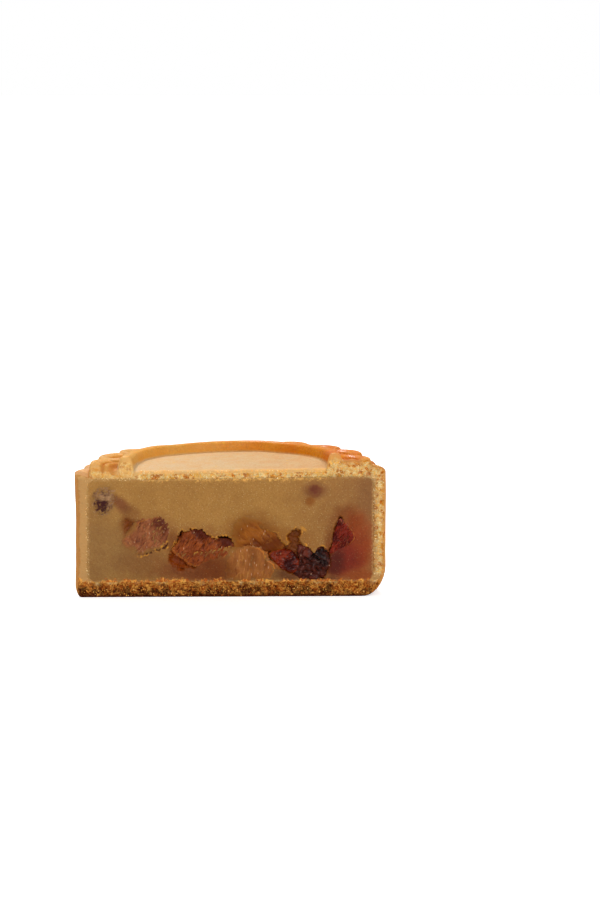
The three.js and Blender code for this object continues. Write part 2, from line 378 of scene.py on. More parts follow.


# Numbers on the crust's points for its finishes: rim (0 at the skin, 1 at the filling), relief and rough
# (the cut crumb), brown (raised parts), outer (outside the ring), disc, valley (painted shade in the
# grooves between petals), knife (pale smear)
def buildCrust():
    bm = bmesh.new()
    layer = addLayers(bm, "row", "rim", "relief", "brown", "outer", "knife", "disc", "valley", "rough")
    spinSkin(bm, layer)
    for vert in bm.verts:
        place = tuple(vert.co)
        bake(vert, layer)
        cutSkin(vert, *place, layer)
    bm.normal_update()
    addCutCrumb(bm, layer)
    closeBack(bm, crust["cavityRows"])
    return bm


def smoothLoop(points, steps=6):  # a closed curve through the points
    loop = []
    count = len(points)
    for i in range(count):
        a, b, c, d = (Vector(points[(i + k) % count]) for k in (-1, 0, 1, 2))
        for step in range(steps):
            t = step / steps
            bent = (2 * a - 5 * b + 4 * c - d) * t * t
            loop.append(tuple(0.5 * (2 * b + (c - a) * t + bent + (3 * b - a - 3 * c + d) * t ** 3)))
    return loop


def depthInside(loop, x, z):  # distance in from a closed curve, negative outside it
    nearest = 1e9
    inside = False
    x0, z0 = loop[-1]
    for x1, z1 in loop:
        if (z0 > z) != (z1 > z) and x < (x1 - x0) * (z - z0) / (z1 - z0) + x0:
            inside = not inside
        dx, dz = x1 - x0, z1 - z0
        t = min(1.0, max(0.0, ((x - x0) * dx + (z - z0) * dz) / (dx * dx + dz * dz + 1e-9)))
        nearest = min(nearest, (x - x0 - t * dx) ** 2 + (z - z0 - t * dz) ** 2)
        x0, z0 = x1, z1
    return sqrt(nearest) if inside else -sqrt(nearest)


# Hollows beside the fruit: outline in the cut as (x, z), depth, width of the wall, how torn the edge is,
# how much of a golden rim it has, the torn paste's golden crumb with painted highlight (only left of the x
# and above the z of goldArea, if there is one), how much painted shade darkens it with depth, and the colour
# inside
pockets = [
    {"outline": [(-26.2, 15.4), (-26.2, 18.2), (-25.6, 20.0), (-24.2, 19.8), (-22.6, 19.3), (-21.0, 19.4),
                 (-21.4, 17.8), (-23.4, 16.0), (-25.2, 14.6)],
     "depth": 0.9, "wall": 2.4, "torn": 0.5, "gold": 0.0, "dark": 0.1, "tint": colour(130, 66, 14)},
    {"outline": [(-22.8, 10.2), (-21.4, 10.9), (-20.0, 11.2), (-18.6, 11.7), (-17.2, 12.0), (-16.0, 12.8),
                 (-15.2, 13.4), (-15.2, 12.5), (-16.6, 11.6), (-18.4, 11.2), (-20.0, 10.6), (-21.4, 10.2)],
     "depth": 0.4, "wall": 0.25, "torn": 0.5, "gold": 1.0, "dark": 0.3, "tint": colour(104, 54, 18)},
    {"outline": [(-14.2, 11.6), (-13.2, 13.6), (-12.5, 15.6), (-11.8, 16.3), (-11.0, 15.9), (-10.3, 16.3),
                 (-8.9, 16.8), (-7.9, 16.6), (-6.9, 16.5), (-6.2, 15.9), (-5.4, 15.5), (-4.6, 14.5),
                 (-3.6, 14.2), (-2.6, 15.0), (-1.4, 14.9), (-0.4, 14.6), (1.0, 13.7), (0.5, 12.6),
                 (-4.0, 11.6), (-9.0, 11.0), (-12.0, 10.8)],
     "depth": 1.6, "wall": 0.5, "torn": 0.6, "gold": 1.0, "dark": 0.7, "tint": colour(118, 50, 4)},
    {"outline": [(-14.5, 11.7), (-13.6, 11.5), (-11.6, 10.2), (-9.4, 8.6), (-8.0, 7.6), (-8.8, 6.6),
                 (-10.8, 6.9), (-11.8, 5.9), (-13.1, 6.6), (-14.6, 7.8), (-15.5, 8.8), (-15.2, 10.4)],
     "depth": 1.3, "wall": 1.4, "torn": 0.6, "gold": 0.1, "dark": 0.05, "tint": colour(142, 60, 0)},
    {"outline": [(0.0, 11.8), (0.4, 14.0), (2.0, 16.0), (4.8, 17.0), (8.0, 16.4), (9.8, 16.0),
                 (10.9, 15.7), (11.5, 14.9), (12.2, 13.7), (13.1, 12.4), (9.0, 11.2), (4.0, 11.4)],
     "depth": 1.9, "wall": 1.2, "torn": 0.7, "gold": 0.5, "dark": 0.5, "tint": colour(122, 58, 4)},
    {"outline": [(9.0, 12.2), (11.0, 12.9), (12.6, 12.9), (13.7, 12.5), (13.9, 13.2), (13.5, 14.6),
                 (14.2, 15.7), (15.6, 16.6), (16.9, 16.2), (17.1, 15.2), (16.7, 14.2), (17.3, 12.9),
                 (18.4, 12.3), (19.2, 11.7), (20.0, 10.7), (20.7, 11.3), (21.2, 12.1), (22.2, 12.3),
                 (23.4, 11.4), (24.2, 10.6), (24.4, 9.0), (23.8, 6.2), (22.8, 4.2), (21.0, 4.1),
                 (17.0, 4.2), (14.2, 5.4), (12.2, 6.4), (10.7, 6.6), (10.2, 7.6), (9.4, 8.2), (8.7, 9.6),
                 (7.8, 10.8), (7.4, 11.8)],
     "depth": 1.2, "wall": 0.7, "torn": 0.5, "gold": 1.0, "goldArea": (23.2, 6.6), "dark": 0.35,
     "tint": colour(140, 70, 10)},
    {"outline": [(23.2, 10.6), (24.2, 12.8), (24.5, 14.8), (24.8, 16.8), (25.6, 18.6), (26.2, 19.9),
                 (27.2, 19.2), (27.6, 17.2), (27.0, 15.0), (26.0, 12.0), (25.2, 10.6)],
     "depth": 0.9, "wall": 0.8, "torn": 0.4, "gold": 0.1, "dark": 0.35, "tint": colour(116, 50, 4)},
]

# Soft colours laid over the paste: place, half size, turn, strength, colour. Most are what the fruit has lent
# to the paste round it; the first darkens its left side, the second is painted shade along the right edge,
# and the last is a curled flap of paste, golden with painted highlight
stains = [
    ((-33.0, 11.0), (16.0, 14.0), 0.0, 0.8, colour(147, 107, 58)),
    # painted shade along the right edge of the paste
    ((33.4, 24.0), (4.5, 10.0), 0.0, 0.6, colour(134, 88, 50)),
    ((-30.6, 23.6), (4.4, 4.8), 0.0, 0.35, colour(120, 84, 58)),
    ((-26.4, 23.0), (3.6, 2.0), -0.75, 0.8, colour(118, 62, 34)),
    ((-23.8, 21.2), (3.6, 2.2), -0.6, 0.6, colour(126, 76, 34)),
    ((-25.0, 18.0), (2.6, 3.4), 0.0, 0.85, colour(122, 70, 22)),
    ((-19.8, 15.3), (9.0, 7.2), 0.1, 0.6, colour(134, 84, 42)),
    ((-19.0, 7.6), (12.0, 5.4), -0.1, 0.6, colour(128, 80, 40)),
    ((-13.6, 13.0), (2.6, 4.6), 0.2, 0.8, colour(126, 72, 26)),
    ((-6.6, 12.4), (10.4, 6.4), -0.2, 0.6, colour(128, 70, 26)),
    ((-7.6, 6.4), (14.0, 4.4), -0.05, 0.95, colour(126, 66, 28)),
    ((-3.4, 7.2), (6.0, 4.4), 0.0, 0.9, colour(122, 60, 16)),
    ((5.0, 15.0), (8.4, 7.0), -0.1, 1.0, colour(134, 78, 18)),
    ((12.4, 14.6), (5.6, 3.4), -0.5, 0.6, colour(142, 84, 22)),
    ((8.4, 12.8), (5.4, 2.6), -0.15, 1.0, colour(94, 40, 2)),
    ((5.0, 7.4), (8.0, 6.0), 0.0, 0.8, colour(134, 82, 34)),
    ((17.0, 13.4), (5.0, 3.8), -0.6, 0.4, colour(140, 84, 28)),
    ((14.0, 5.6), (5.4, 3.0), 0.0, 0.9, colour(104, 58, 28)),
    ((20.4, 25.8), (3.8, 2.9), 0.0, 0.7, colour(116, 68, 44)),
    ((19.2, 23.2), (1.7, 1.5), 0.3, 0.75, colour(136, 74, 12)),
    ((28.0, 19.0), (5.2, 4.4), 0.2, 0.8, colour(128, 66, 22)),
    ((30.6, 11.8), (6.4, 10.6), 0.0, 1.0, colour(150, 66, 26)),
    ((27.0, 9.2), (6.4, 6.6), 0.0, 1.0, colour(134, 44, 24)),
    ((31.4, 4.6), (6.0, 2.6), 0.0, 0.75, colour(152, 72, 26)),
    ((30.2, 18.0), (2.6, 2.6), 0.3, 0.7, colour(142, 62, 16)),
    ((24.2, 13.0), (2.2, 6.0), 0.0, 0.75, colour(126, 68, 22)),
    ((25.0, 8.2), (3.4, 5.2), -0.2, 1.0, colour(92, 30, 16)),
    ((22.8, 3.9), (6.0, 1.2), 0.0, 0.6, colour(92, 40, 20)),
    # a curled golden flap of paste with painted highlight
    ((17.6, 16.5), (1.3, 0.55), -0.6, 0.8, colour(204, 140, 52)),
]

paste = {
    "spacing": 0.15,
    "shrink": -0.02,  # it runs a little into the crust's crumb
    "recess": 0.03,  # how far the paste lies behind the cut, save at its border
    "waves": 0.05,
    "grain": 0.035,
    "backRows": 7,
    "crumbReach": 0.9,  # how far the crust's crumb mixes into it
    "nearPocket": 1.5,  # round a hollow, where it still shapes the paste
    # golden crumb of the torn paste round a hollow, with painted highlight where its lip catches light
    "goldenCrumbAndHighlight": colour(222, 150, 48),
    # painted shade deep in a hollow
    "deep": colour(44, 14, 2),
}


def readyPockets():  # each hollow with its smooth outline and the box within which it matters
    near = paste["nearPocket"]
    ready = []
    for pocket in pockets:
        xs, zs = zip(*pocket["outline"])
        box = (min(xs) - near, max(xs) + near, min(zs) - near, max(zs) + near)
        ready.append((pocket, smoothLoop(pocket["outline"]), box))
    return ready


# The colour in a hollow darkens with depth as painted shade, and its golden rim is partly painted highlight.
def pocketAt(x, z, ready):  # at a place of the cut: depth, colour and its amount, and golden rim
    depth, tint, amount, rim = 0.0, Vector((0, 0, 0)), 0.0, 0.0
    for pocket, loop, (lowX, highX, lowZ, highZ) in ready:
        if not (lowX < x < highX and lowZ < z < highZ):
            continue
        torn = pocket["torn"] * (0.7 * wobble(x, 1.0, z, 0.9) + 0.9 * wobble(x, 4.0, z, 0.5))
        inside = depthInside(loop, x, z) + torn * 0.8
        sunk = between(-0.05, pocket["wall"], inside)
        depth = max(depth, sunk * pocket["depth"])
        here = between(0.0, min(pocket["wall"], 2.0) * 0.7, inside)
        if here > 0:
            # painted shade: darker the deeper the paste lies in the hollow
            paintedShade = pocket["dark"] * between(0.4, 1.0, sunk)
            inner = Vector(pocket["tint"][:3]).lerp(Vector(paste["deep"][:3]), paintedShade)
            tint = tint.lerp(inner, here) if amount else inner
            amount = mix(amount, 1.0, here)
        # golden rim just outside a hollow: golden crumb with painted highlight
        goldX, goldZ = pocket.get("goldArea", (99, 0))
        if here <= 0 and x < goldX and z > goldZ:
            rim = max(rim, pocket["gold"] * max(0.0, 1 - abs(inside + 0.12) / 0.22))
    return depth, tint, amount, rim * (1 - amount)


def stainAt(x, z):  # colour and amount of what the fruit has lent to the paste at a place of the cut
    tint, weight = Vector((0, 0, 0)), 0.0
    blur = 1 + 0.12 * wobble(x, 6, z, 2.2, 3)
    for (atX, atZ), (halfX, halfZ), turn, strength, lent in stains:
        dx, dz = x - atX, z - atZ
        u = (dx * cos(turn) + dz * sin(turn)) / halfX
        w = (dz * cos(turn) - dx * sin(turn)) / halfZ
        amount = strength * (1 - between(0.3, 1.05, hypot(u, w) * blur))
        tint, weight = layOver(tint, weight, lent, amount)
    return tint, weight


def roundCorner(vert, width, height, middle):  # moves a point of a square corner to a round one
    corner = filling["corner"]
    u = (abs(vert.co.x) - (width / 2 - corner)) / corner
    v = (abs(vert.co.z - middle) - (height / 2 - corner)) / corner
    if u > 0 and v > 0:
        vert.co.x += (u * sqrt(1 - v * v / 2) - u) * corner * (1 if vert.co.x > 0 else -1)
        vert.co.z += (v * sqrt(1 - u * u / 2) - v) * corner * (1 if vert.co.z > middle else -1)


def buildPaste():
    width = 2 * (filling["radius"] - paste["shrink"])
    height = filling["top"] - filling["bottom"] - 2 * paste["shrink"]
    middle = (filling["top"] + filling["bottom"]) / 2
    bm = bmesh.new()
    layer = addLayers(bm, "crumb")
    bmesh.ops.create_grid(bm, x_segments=round(width / paste["spacing"]),
                          y_segments=round(height / paste["spacing"]), size=0.5)
    upright = Matrix.Translation((0, 0, middle)) @ Matrix.Rotation(pi / 2, 4, "X")
    bmesh.ops.transform(bm, matrix=upright @ Matrix.Diagonal((width, height, 1, 1)), verts=bm.verts)
    for vert in bm.verts:
        roundCorner(vert, width, height, middle)
    ready = readyPockets()
    for vert in bm.verts:
        x, z = vert.co.x, vert.co.z
        depth, inner, inwards, rim = pocketAt(x, z, ready)
        grain = paste["grain"] * wobble(x, 0, z, 0.5, 2) + paste["waves"] * wobble(x * 0.5, 3, z, 5, 2)
        inFrom = min(width / 2 - abs(x), height / 2 - abs(z - middle))
        recess = paste["recess"] * between(0.0, 0.8, inFrom)
        vert.co.y = recess + depth + grain + 0.2 * depth * wobble(x, 8, z, 0.8, 2)
        tint, weight = layOver(*stainAt(x, z), inner, inwards)
        # golden rim round the hollows: golden crumb with painted highlight
        rim *= between(-0.15, 0.3, wobble(x, 2, z, 1.1, 2))
        tint, weight = layOver(tint, weight, paste["goldenCrumbAndHighlight"], rim)
        vert[layer["stain"]] = (*tint, weight)
        vert[layer["crumb"]] = 1 - between(0.0, paste["crumbReach"], inFrom)
    closeBack(bm, paste["backRows"])
    return bm


# Each piece of fruit: outline in the cut as (x, z), how far its face lies behind the cut and how far that
# leans for each millimetre of x and z, how round its edge is, its depth, relief and ragged edge, how
# finely it is divided, the turn of its fibres (0 for none) and their width, its darker places (dusk:
# partly the fruit's own darker colour, partly painted shade; a negative amount lightens) as (x, z, reach,
# amount), the lip on which light falls, painted as a highlight, as (direction, how far out, amount), and
# the side on which it runs softly into the paste as (direction, spread)
fruits = {
    "purple_nut": {
        "outline": [(-34.0, 23.6), (-33.4, 26.2), (-31.2, 27.8), (-28.2, 27.4), (-26.8, 25.0),
                    (-27.3, 22.0), (-29.0, 19.4), (-31.4, 18.8), (-33.4, 20.8)],
        "front": -0.04, "roundness": 0.3, "depth": 2.2, "relief": 0.06, "ragged": 0.5, "detail": 6,
        "dusk": [(-31.1, 22.3, 2.4, 1.3)], "soft": (0, 9), "finish": "nutFinish",
    },
    "pink_fruit_chunk": {
        "outline": [(-26.8, 13.8), (-24.9, 16.0), (-23.2, 18.0), (-21.2, 19.4), (-18.6, 20.1),
                    (-16.0, 20.2), (-14.3, 18.3), (-14.0, 16.0), (-14.8, 14.0), (-15.4, 12.9),
                    (-17.0, 12.0), (-19.0, 11.3), (-21.9, 10.2), (-25.2, 11.6)],
        "front": -0.1, "leans": (0.01, 0), "roundness": 0.4, "depth": 3.2, "relief": 0.16, "ragged": 0.5,
        "detail": 7, "fibre": 1.05,
        "dusk": [(-16.6, 18.8, 3.6, 0.7), (-15.2, 15.4, 2.4, 0.4), (-24.6, 17.4, 2.0, 0.5)],
        "lip": (2.2, 0.86, 0.4), "soft": (4.0, 1.6), "finish": "pinkFinish",
    },
    "red_fruit_chunk": {
        "outline": [(-13.0, 13.6), (-11.4, 15.8), (-8.6, 16.7), (-6.6, 16.0), (-4.2, 14.3), (-0.8, 14.2),
                    (1.3, 12.8), (1.0, 10.5), (-1.8, 9.0), (-5.0, 8.6), (-8.6, 7.2), (-11.8, 9.1),
                    (-14.6, 11.4), (-14.0, 12.4)],
        "front": 0.02, "leans": (0, 0.06), "roundness": 0.7, "depth": 3.4, "relief": 0.24, "ragged": 0.45,
        "detail": 7, "fibre": 1.0,
        "dusk": [(-6.8, 16.2, 3.4, 0.9), (-1.0, 13.8, 2.6, 1.0), (-12.4, 14.6, 2.0, 0.5)],
        "lip": (3.9, 0.93, 0.4), "soft": (5.2, 1.1), "finish": "redFibreFinish",
    },
    "amber_jelly": {
        "outline": [(0.8, 12.4), (0.2, 16.0), (1.8, 18.8), (4.6, 19.8), (8.2, 18.6), (10.7, 16.5),
                    (12.1, 14.4), (13.2, 12.4), (11.2, 11.2), (7.1, 11.0), (3.4, 11.0)],
        "front": 0.05, "leans": (0.05, -0.03), "roundness": 0.4, "depth": 2.8, "relief": 0.14,
        "ragged": 0.4, "detail": 7, "fibre": 2.5, "strandSize": 1.8,
        "dusk": [(9.2, 12.0, 4.6, 1.0), (4.4, 11.8, 2.2, 0.6), (12.0, 14.0, 2.0, 0.4)], "soft": (2.1, 1.5),
        "finish": "amberFinish",
    },
    "pale_melon_piece": {
        "outline": [(-1.2, 9.8), (0.2, 12.0), (3.4, 12.7), (6.6, 12.5), (8.4, 10.9), (8.9, 9.2),
                    (10.6, 8.2), (11.4, 6.6), (10.6, 3.9), (4.0, 3.7), (-1.0, 3.9), (-1.6, 7.4)],
        "front": -0.1, "leans": (0.01, 0), "roundness": 0.45, "depth": 3.4, "relief": 0.14, "ragged": 0.7,
        "detail": 7, "fibre": 1.45, "strandSize": 1.8,
        "dusk": [(-0.6, 6.6, 3.4, 0.6), (5.6, 12.0, 2.6, 0.3)], "lip": (0.1, 0.86, 1.0), "soft": (3.6, 1.7),
        "finish": "melonFinish",
    },
    "glossy_red_piece": {
        "outline": [(9.0, 10.6), (12.2, 11.7), (14.8, 11.1), (16.6, 9.0), (17.0, 7.2), (15.6, 5.4),
                    (12.4, 6.3), (10.0, 8.5)],
        "front": 0.1, "roundness": 1.6, "depth": 2.6, "relief": 0.3, "ragged": 0.15, "detail": 6,
        "fibre": 0.4, "dusk": [(14.2, 7.6, 2.4, 0.8), (15.6, 10.0, 1.6, 0.6)], "lip": (3.8, 0.92, 0.6),
        "finish": "glossyRedFinish",
    },
    "dark_raisin": {
        "outline": [(16.4, 12.6), (18.6, 12.4), (20.2, 11.3), (21.5, 12.3), (23.4, 11.4), (24.5, 8.6),
                    (23.8, 6.0), (21.8, 3.7), (18.4, 3.4), (15.2, 3.8), (15.2, 6.8), (16.5, 8.8),
                    (15.9, 10.6)],
        "front": -0.05, "roundness": 1.5, "depth": 2.6, "relief": 0.75, "ragged": 0.4, "detail": 7,
        "dusk": [(21.4, 10.0, 3.6, 0.6), (17.0, 12.0, 2.0, -0.5)], "finish": "raisinFinish",
    },
    "red_wedge": {
        "outline": [(26.3, 18.9), (28.5, 18.0), (30.4, 14.8), (29.4, 12.9), (26.4, 11.2), (23.9, 10.4),
                    (24.5, 12.6), (24.7, 14.8), (25.5, 17.0)],
        "front": -0.1, "leans": (-0.03, 0), "roundness": 0.5, "depth": 2.6, "relief": 0.34, "ragged": 0.2,
        "detail": 7, "fibre": 1.0,
        "dusk": [(24.9, 14.6, 1.8, 0.9), (27.4, 12.6, 2.4, 0.6), (26.4, 18.4, 1.6, 0.9),
                 (29.6, 15.4, 1.4, -0.4)],
        "lip": (0.2, 0.86, 0.5), "soft": (5.2, 1.0), "finish": "wedgeFinish",
    },
    "small_purple_piece": {
        "outline": [(17.6, 25.8), (18.9, 27.9), (20.9, 28.1), (23.0, 26.4), (22.1, 24.2), (19.8, 23.7)],
        "front": -0.03, "roundness": 0.3, "depth": 1.4, "relief": 0.02, "ragged": 0.2, "detail": 5,
        "dusk": [(20.4, 26.2, 1.6, 0.4)], "soft": (0, 9), "finish": "specklePurple",
    },
}
fruitDefaults = {"leans": (0, 0), "fibre": 0.0, "strandSize": 0.6, "lip": (0, 0.9, 0.0), "soft": (0, 0)}


def outlineReach(loop, centre, angle):  # distance from the centre to the outline in one direction
    far = 0.0
    dx, dz = cos(angle), sin(angle)
    for (x0, z0), (x1, z1) in zip(loop, loop[1:] + loop[:1]):
        ax, az, bx, bz = x0 - centre[0], z0 - centre[1], x1 - centre[0], z1 - centre[1]
        sideA, sideB = dx * az - dz * ax, dx * bz - dz * bx
        if (sideA >= 0) != (sideB >= 0):
            t = sideA / (sideA - sideB)
            far = max(far, (ax + t * (bx - ax)) * dx + (az + t * (bz - az)) * dz)
    return far


def fruitTexture(shape, x, y, z):  # strands along the fibres, or wrinkles where there are none
    turn = shape["fibre"]
    if not turn:
        return 2.2 * abs(wobble(x, y * 2, z, 2.3, 2)) + 0.5 * wobble(x, 3, z, 0.8) - 0.2
    across, length = x * sin(turn) - z * cos(turn), x * cos(turn) + z * sin(turn)
    bend = 0.5 * wobble(x, 6, z, 2.0)
    strands = wobble(across + bend, 0, length * 0.3, shape["strandSize"], 3)
    return 1 - 2 * abs(strands) + 0.5 * wobble(x, 3, z, 1.6)


# A ball pressed into the outline. Numbers on its points for the finish: rim (0 in the middle, 1 where it
# runs into the paste), relief, dusk (how dark, partly painted shade) and lip (how much painted
# highlight)
def buildFruit(shape):
    shape = fruitDefaults | shape
    loop = smoothLoop(shape["outline"])
    centre = (sum(x for x, z in loop) / len(loop), sum(z for x, z in loop) / len(loop))
    steps = 180  # round the outline
    reaches = [outlineReach(loop, centre, step / steps * 2 * pi) for step in range(steps)]
    softAt, spread = shape["soft"]
    lipAngle, lipAt, lipAmount = shape["lip"]
    bm = bmesh.new()
    layer = addLayers(bm, "rim", "relief", "dusk", "lip")
    bmesh.ops.create_icosphere(bm, subdivisions=shape["detail"], radius=1)
    for vert in bm.verts:
        sx, sy, sz = vert.co
        out = min(1.0, hypot(sx, sz))
        angle = atan2(sz, sx)
        place = (angle % (2 * pi)) * steps / (2 * pi)
        low = int(place) % steps
        reach = mix(reaches[low], reaches[(low + 1) % steps], place - int(place))
        x, z = centre[0] + reach * sx, centre[1] + reach * sz
        ragged = shape["ragged"] * wobble(x, sy * 2, z, 0.9, 2) * out ** 3
        x += ragged * sx
        z += ragged * sz
        texture = fruitTexture(shape, x, sy, z)
        front = shape["front"] + shape["leans"][0] * (x - centre[0]) + shape["leans"][1] * (z - centre[1])
        inFront = sy < 0
        if inFront:
            y = front + shape["roundness"] * (1 - sqrt(max(0.0, 1 - out ** 6)))
            y -= shape["relief"] * (texture - 0.5) * (1 - out ** 4)
        else:
            y = front + shape["roundness"] + shape["depth"] * sy
        vert.co = (x, max(-0.15, y), z)
        turned = abs((angle - softAt + pi) % (2 * pi) - pi)
        soft = 1 - between(spread * 0.8, spread * 1.2 + 0.01, turned)
        vert[layer["rim"]] = (out if inFront else 1.0) - 0.4 * (1 - soft)
        vert[layer["relief"]] = texture
        # darker places: partly the fruit's own darker colour, partly painted shade
        vert[layer["dusk"]] = sum(amount * (1 - between(0.1, 1.0, hypot(x - atX, z - atZ) / far))
                                  for atX, atZ, far, amount in shape["dusk"])
        # painted highlight along the lip on which light falls
        onLip = max(0.0, cos(angle - lipAngle)) * max(0.0, 1 - abs(out - lipAt) / 0.06)
        vert[layer["lip"]] = lipAmount * onLip if inFront else 0.0
        tint, weight = stainAt(x, z)
        vert[layer["stain"]] = (*tint, weight)
    bmesh.ops.recalc_face_normals(bm, faces=bm.faces)
    return bm


crumbs = {
    "seed": 18,
    "clearOfTable": 1.5,  # least height of a crumb's middle, in crumb sizes
    # where they lie: how many, corners of the area in the cut, sizes, brownness
    "areas": [
        {"count": 360, "low": (-35.8, 0.15), "high": (34.5, 2.2), "size": (0.1, 0.24), "brown": (0.5, 1.1)},
        {"count": 200, "low": (-35.8, 1.8), "high": (34.5, 3.7), "size": (0.1, 0.22), "brown": (0.5, 1.0)},
        {"count": 300, "low": (-21.8, 28.9), "high": (23.2, 30.9), "size": (0.08, 0.2), "brown": (0.0, 0.5)},
        {"count": 190, "low": (34.3, 4.0), "high": (37.1, 30.0), "size": (0.08, 0.18), "brown": (0.0, 0.4)},
        {"count": 120, "low": (24.5, 29.0), "high": (36.5, 32.4), "size": (0.08, 0.2), "brown": (0.0, 0.35)},
        {"count": 60, "low": (-34.9, 4.0), "high": (-34.3, 28.6), "size": (0.07, 0.12), "brown": (0.0, 0.2)},
        {"count": 90, "low": (-33.5, 28.5), "high": (-21.0, 29.2), "size": (0.06, 0.12), "brown": (0.0, 0.2)},
    ],
}


def buildCrumbs():
    chance = random.Random(crumbs["seed"])
    bm = bmesh.new()
    brownLayer = bm.verts.layers.float.new("brown")
    for area in crumbs["areas"]:
        for _ in range(area["count"]):
            x = chance.uniform(area["low"][0], area["high"][0])
            z = chance.uniform(area["low"][1], area["high"][1])
            size = mix(*area["size"], chance.random() ** 2)
            z = max(z, size * crumbs["clearOfTable"])
            if abs(x) > cutEdge(x, z) - size * 0.7:
                continue
            y = crumbRelief(x, z) + size * 0.35
            turn = Euler([chance.uniform(0, 2 * pi) for _ in range(3)]).to_matrix().to_4x4()
            stretch = Matrix.Diagonal([size * chance.uniform(0.7, 1.25) for _ in range(3)] + [1])
            matrix = Matrix.Translation((x, max(y, -0.1), z)) @ turn @ stretch
            made = bmesh.ops.create_icosphere(bm, subdivisions=1, radius=1, matrix=matrix)["verts"]
            brown = mix(*area["brown"], chance.random())
            for vert in made:
                away = vert.co - Vector((x, y, z))
                vert.co += away * 0.8 * wobble(*vert.co, 0.25)
                vert[brownLayer] = brown
    bmesh.ops.recalc_face_normals(bm, faces=bm.faces)
    return bm


# Helpers for materials. A socket knows its node tree, so most of them need no tree.
def feed(socket, value):  # links a socket to another, or sets it to a value
    if isinstance(value, bpy.types.NodeSocket):
        socket.id_data.links.new(value, socket)
    else:
        socket.default_value = value


def treeOf(values):
    return next(value.id_data for value in values if isinstance(value, bpy.types.NodeSocket))


def addNode(tree, kind, settings=None, inputs=None):  # a node with its settings, its inputs set or linked
    node = tree.nodes.new("ShaderNode" + kind)
    for name, value in (settings or {}).items():
        setattr(node, name, value)
    for name, value in (inputs or {}).items():
        feed(node.inputs[name], value)
    return node


def mixColours(amount, first, second, how="MIX"):
    settings = {"data_type": "RGBA", "blend_type": how}
    return addNode(amount.id_data, "Mix", settings, {0: amount, 6: first, 7: second}).outputs[2]


def calculate(how, *values):
    return addNode(treeOf(values), "Math", {"operation": how}, dict(enumerate(values))).outputs[0]


def plus(first, second):
    return calculate("ADD", first, second)


def minus(first, second):
    return calculate("SUBTRACT", first, second)


def times(first, second):
    return calculate("MULTIPLY", first, second)


def larger(first, second):
    return calculate("MAXIMUM", first, second)


def remap(value, low, high, toLow=0.0, toHigh=1.0):  # low may be the larger one
    inputs = {"Value": value, "From Min": low, "From Max": high, "To Min": toLow, "To Max": toHigh}
    return addNode(value.id_data, "MapRange", {"interpolation_type": "SMOOTHSTEP"}, inputs).outputs[0]


def noiseAt(place, scale, detail=3.0, rough=0.55, swirl=0.0):
    inputs = {"Vector": place, "Scale": scale, "Detail": detail, "Roughness": rough, "Distortion": swirl}
    return addNode(place.id_data, "TexNoise", None, inputs).outputs["Fac"]


def acrossAndHigh(place):  # X and Z of a place
    axes = addNode(place.id_data, "SeparateXYZ", None, {"Vector": place}).outputs
    return axes["X"], axes["Z"]


def newGroup(name, inputs, outputs):  # an empty group, what it is given and what it puts out
    group = bpy.data.node_groups.new(name, "ShaderNodeTree")
    for label, kind in inputs.items():
        group.interface.new_socket(label, in_out="INPUT", socket_type="NodeSocket" + kind)
    for label, kind in outputs.items():
        group.interface.new_socket(label, in_out="OUTPUT", socket_type="NodeSocket" + kind)
    return group, group.nodes.new("NodeGroupInput").outputs, group.nodes.new("NodeGroupOutput").inputs


def placeGroup(name, inputs):  # the outputs of a group that is placed with its own values
    return addNode(treeOf(inputs.values()), "Group", {"node_tree": groups[name]}, inputs).outputs


def makeGrainGroup():  # fine dough grain: a soft mottling and a bumpy height
    outputs = {"Mottle": "Float", "Height": "Float"}
    group, given, result = newGroup("doughGrain", {"Place": "Vector", "Scale": "Float"}, outputs)
    place, scale = given["Place"], given["Scale"]
    broad = noiseAt(place, times(scale, 0.22), 4.0)
    medium = noiseAt(place, scale, 2.0)
    fine = noiseAt(place, times(scale, 1.9))
    feed(result["Mottle"], remap(plus(times(broad, 0.55), times(fine, 0.45)), 0.32, 0.68))
    feed(result["Height"], plus(times(fine, 0.5), medium))
    return group


def makeFleckGroup():  # small scattered flecks, in an Amount of the cells
    inputs = {"Place": "Vector", "Scale": "Float", "Amount": "Float", "Size": "Float"}
    group, given, result = newGroup("flecks", inputs, {"Mask": "Float"})
    cells = addNode(group, "TexVoronoi", None, {"Vector": given["Place"], "Scale": given["Scale"]}).outputs
    shuffled = addNode(group, "SeparateColor", None, {"Color": cells["Color"]}).outputs[0]
    chosen = calculate("LESS_THAN", shuffled, given["Amount"])
    near = calculate("LESS_THAN", cells["Distance"], given["Size"])
    feed(result["Mask"], times(chosen, near))
    return group


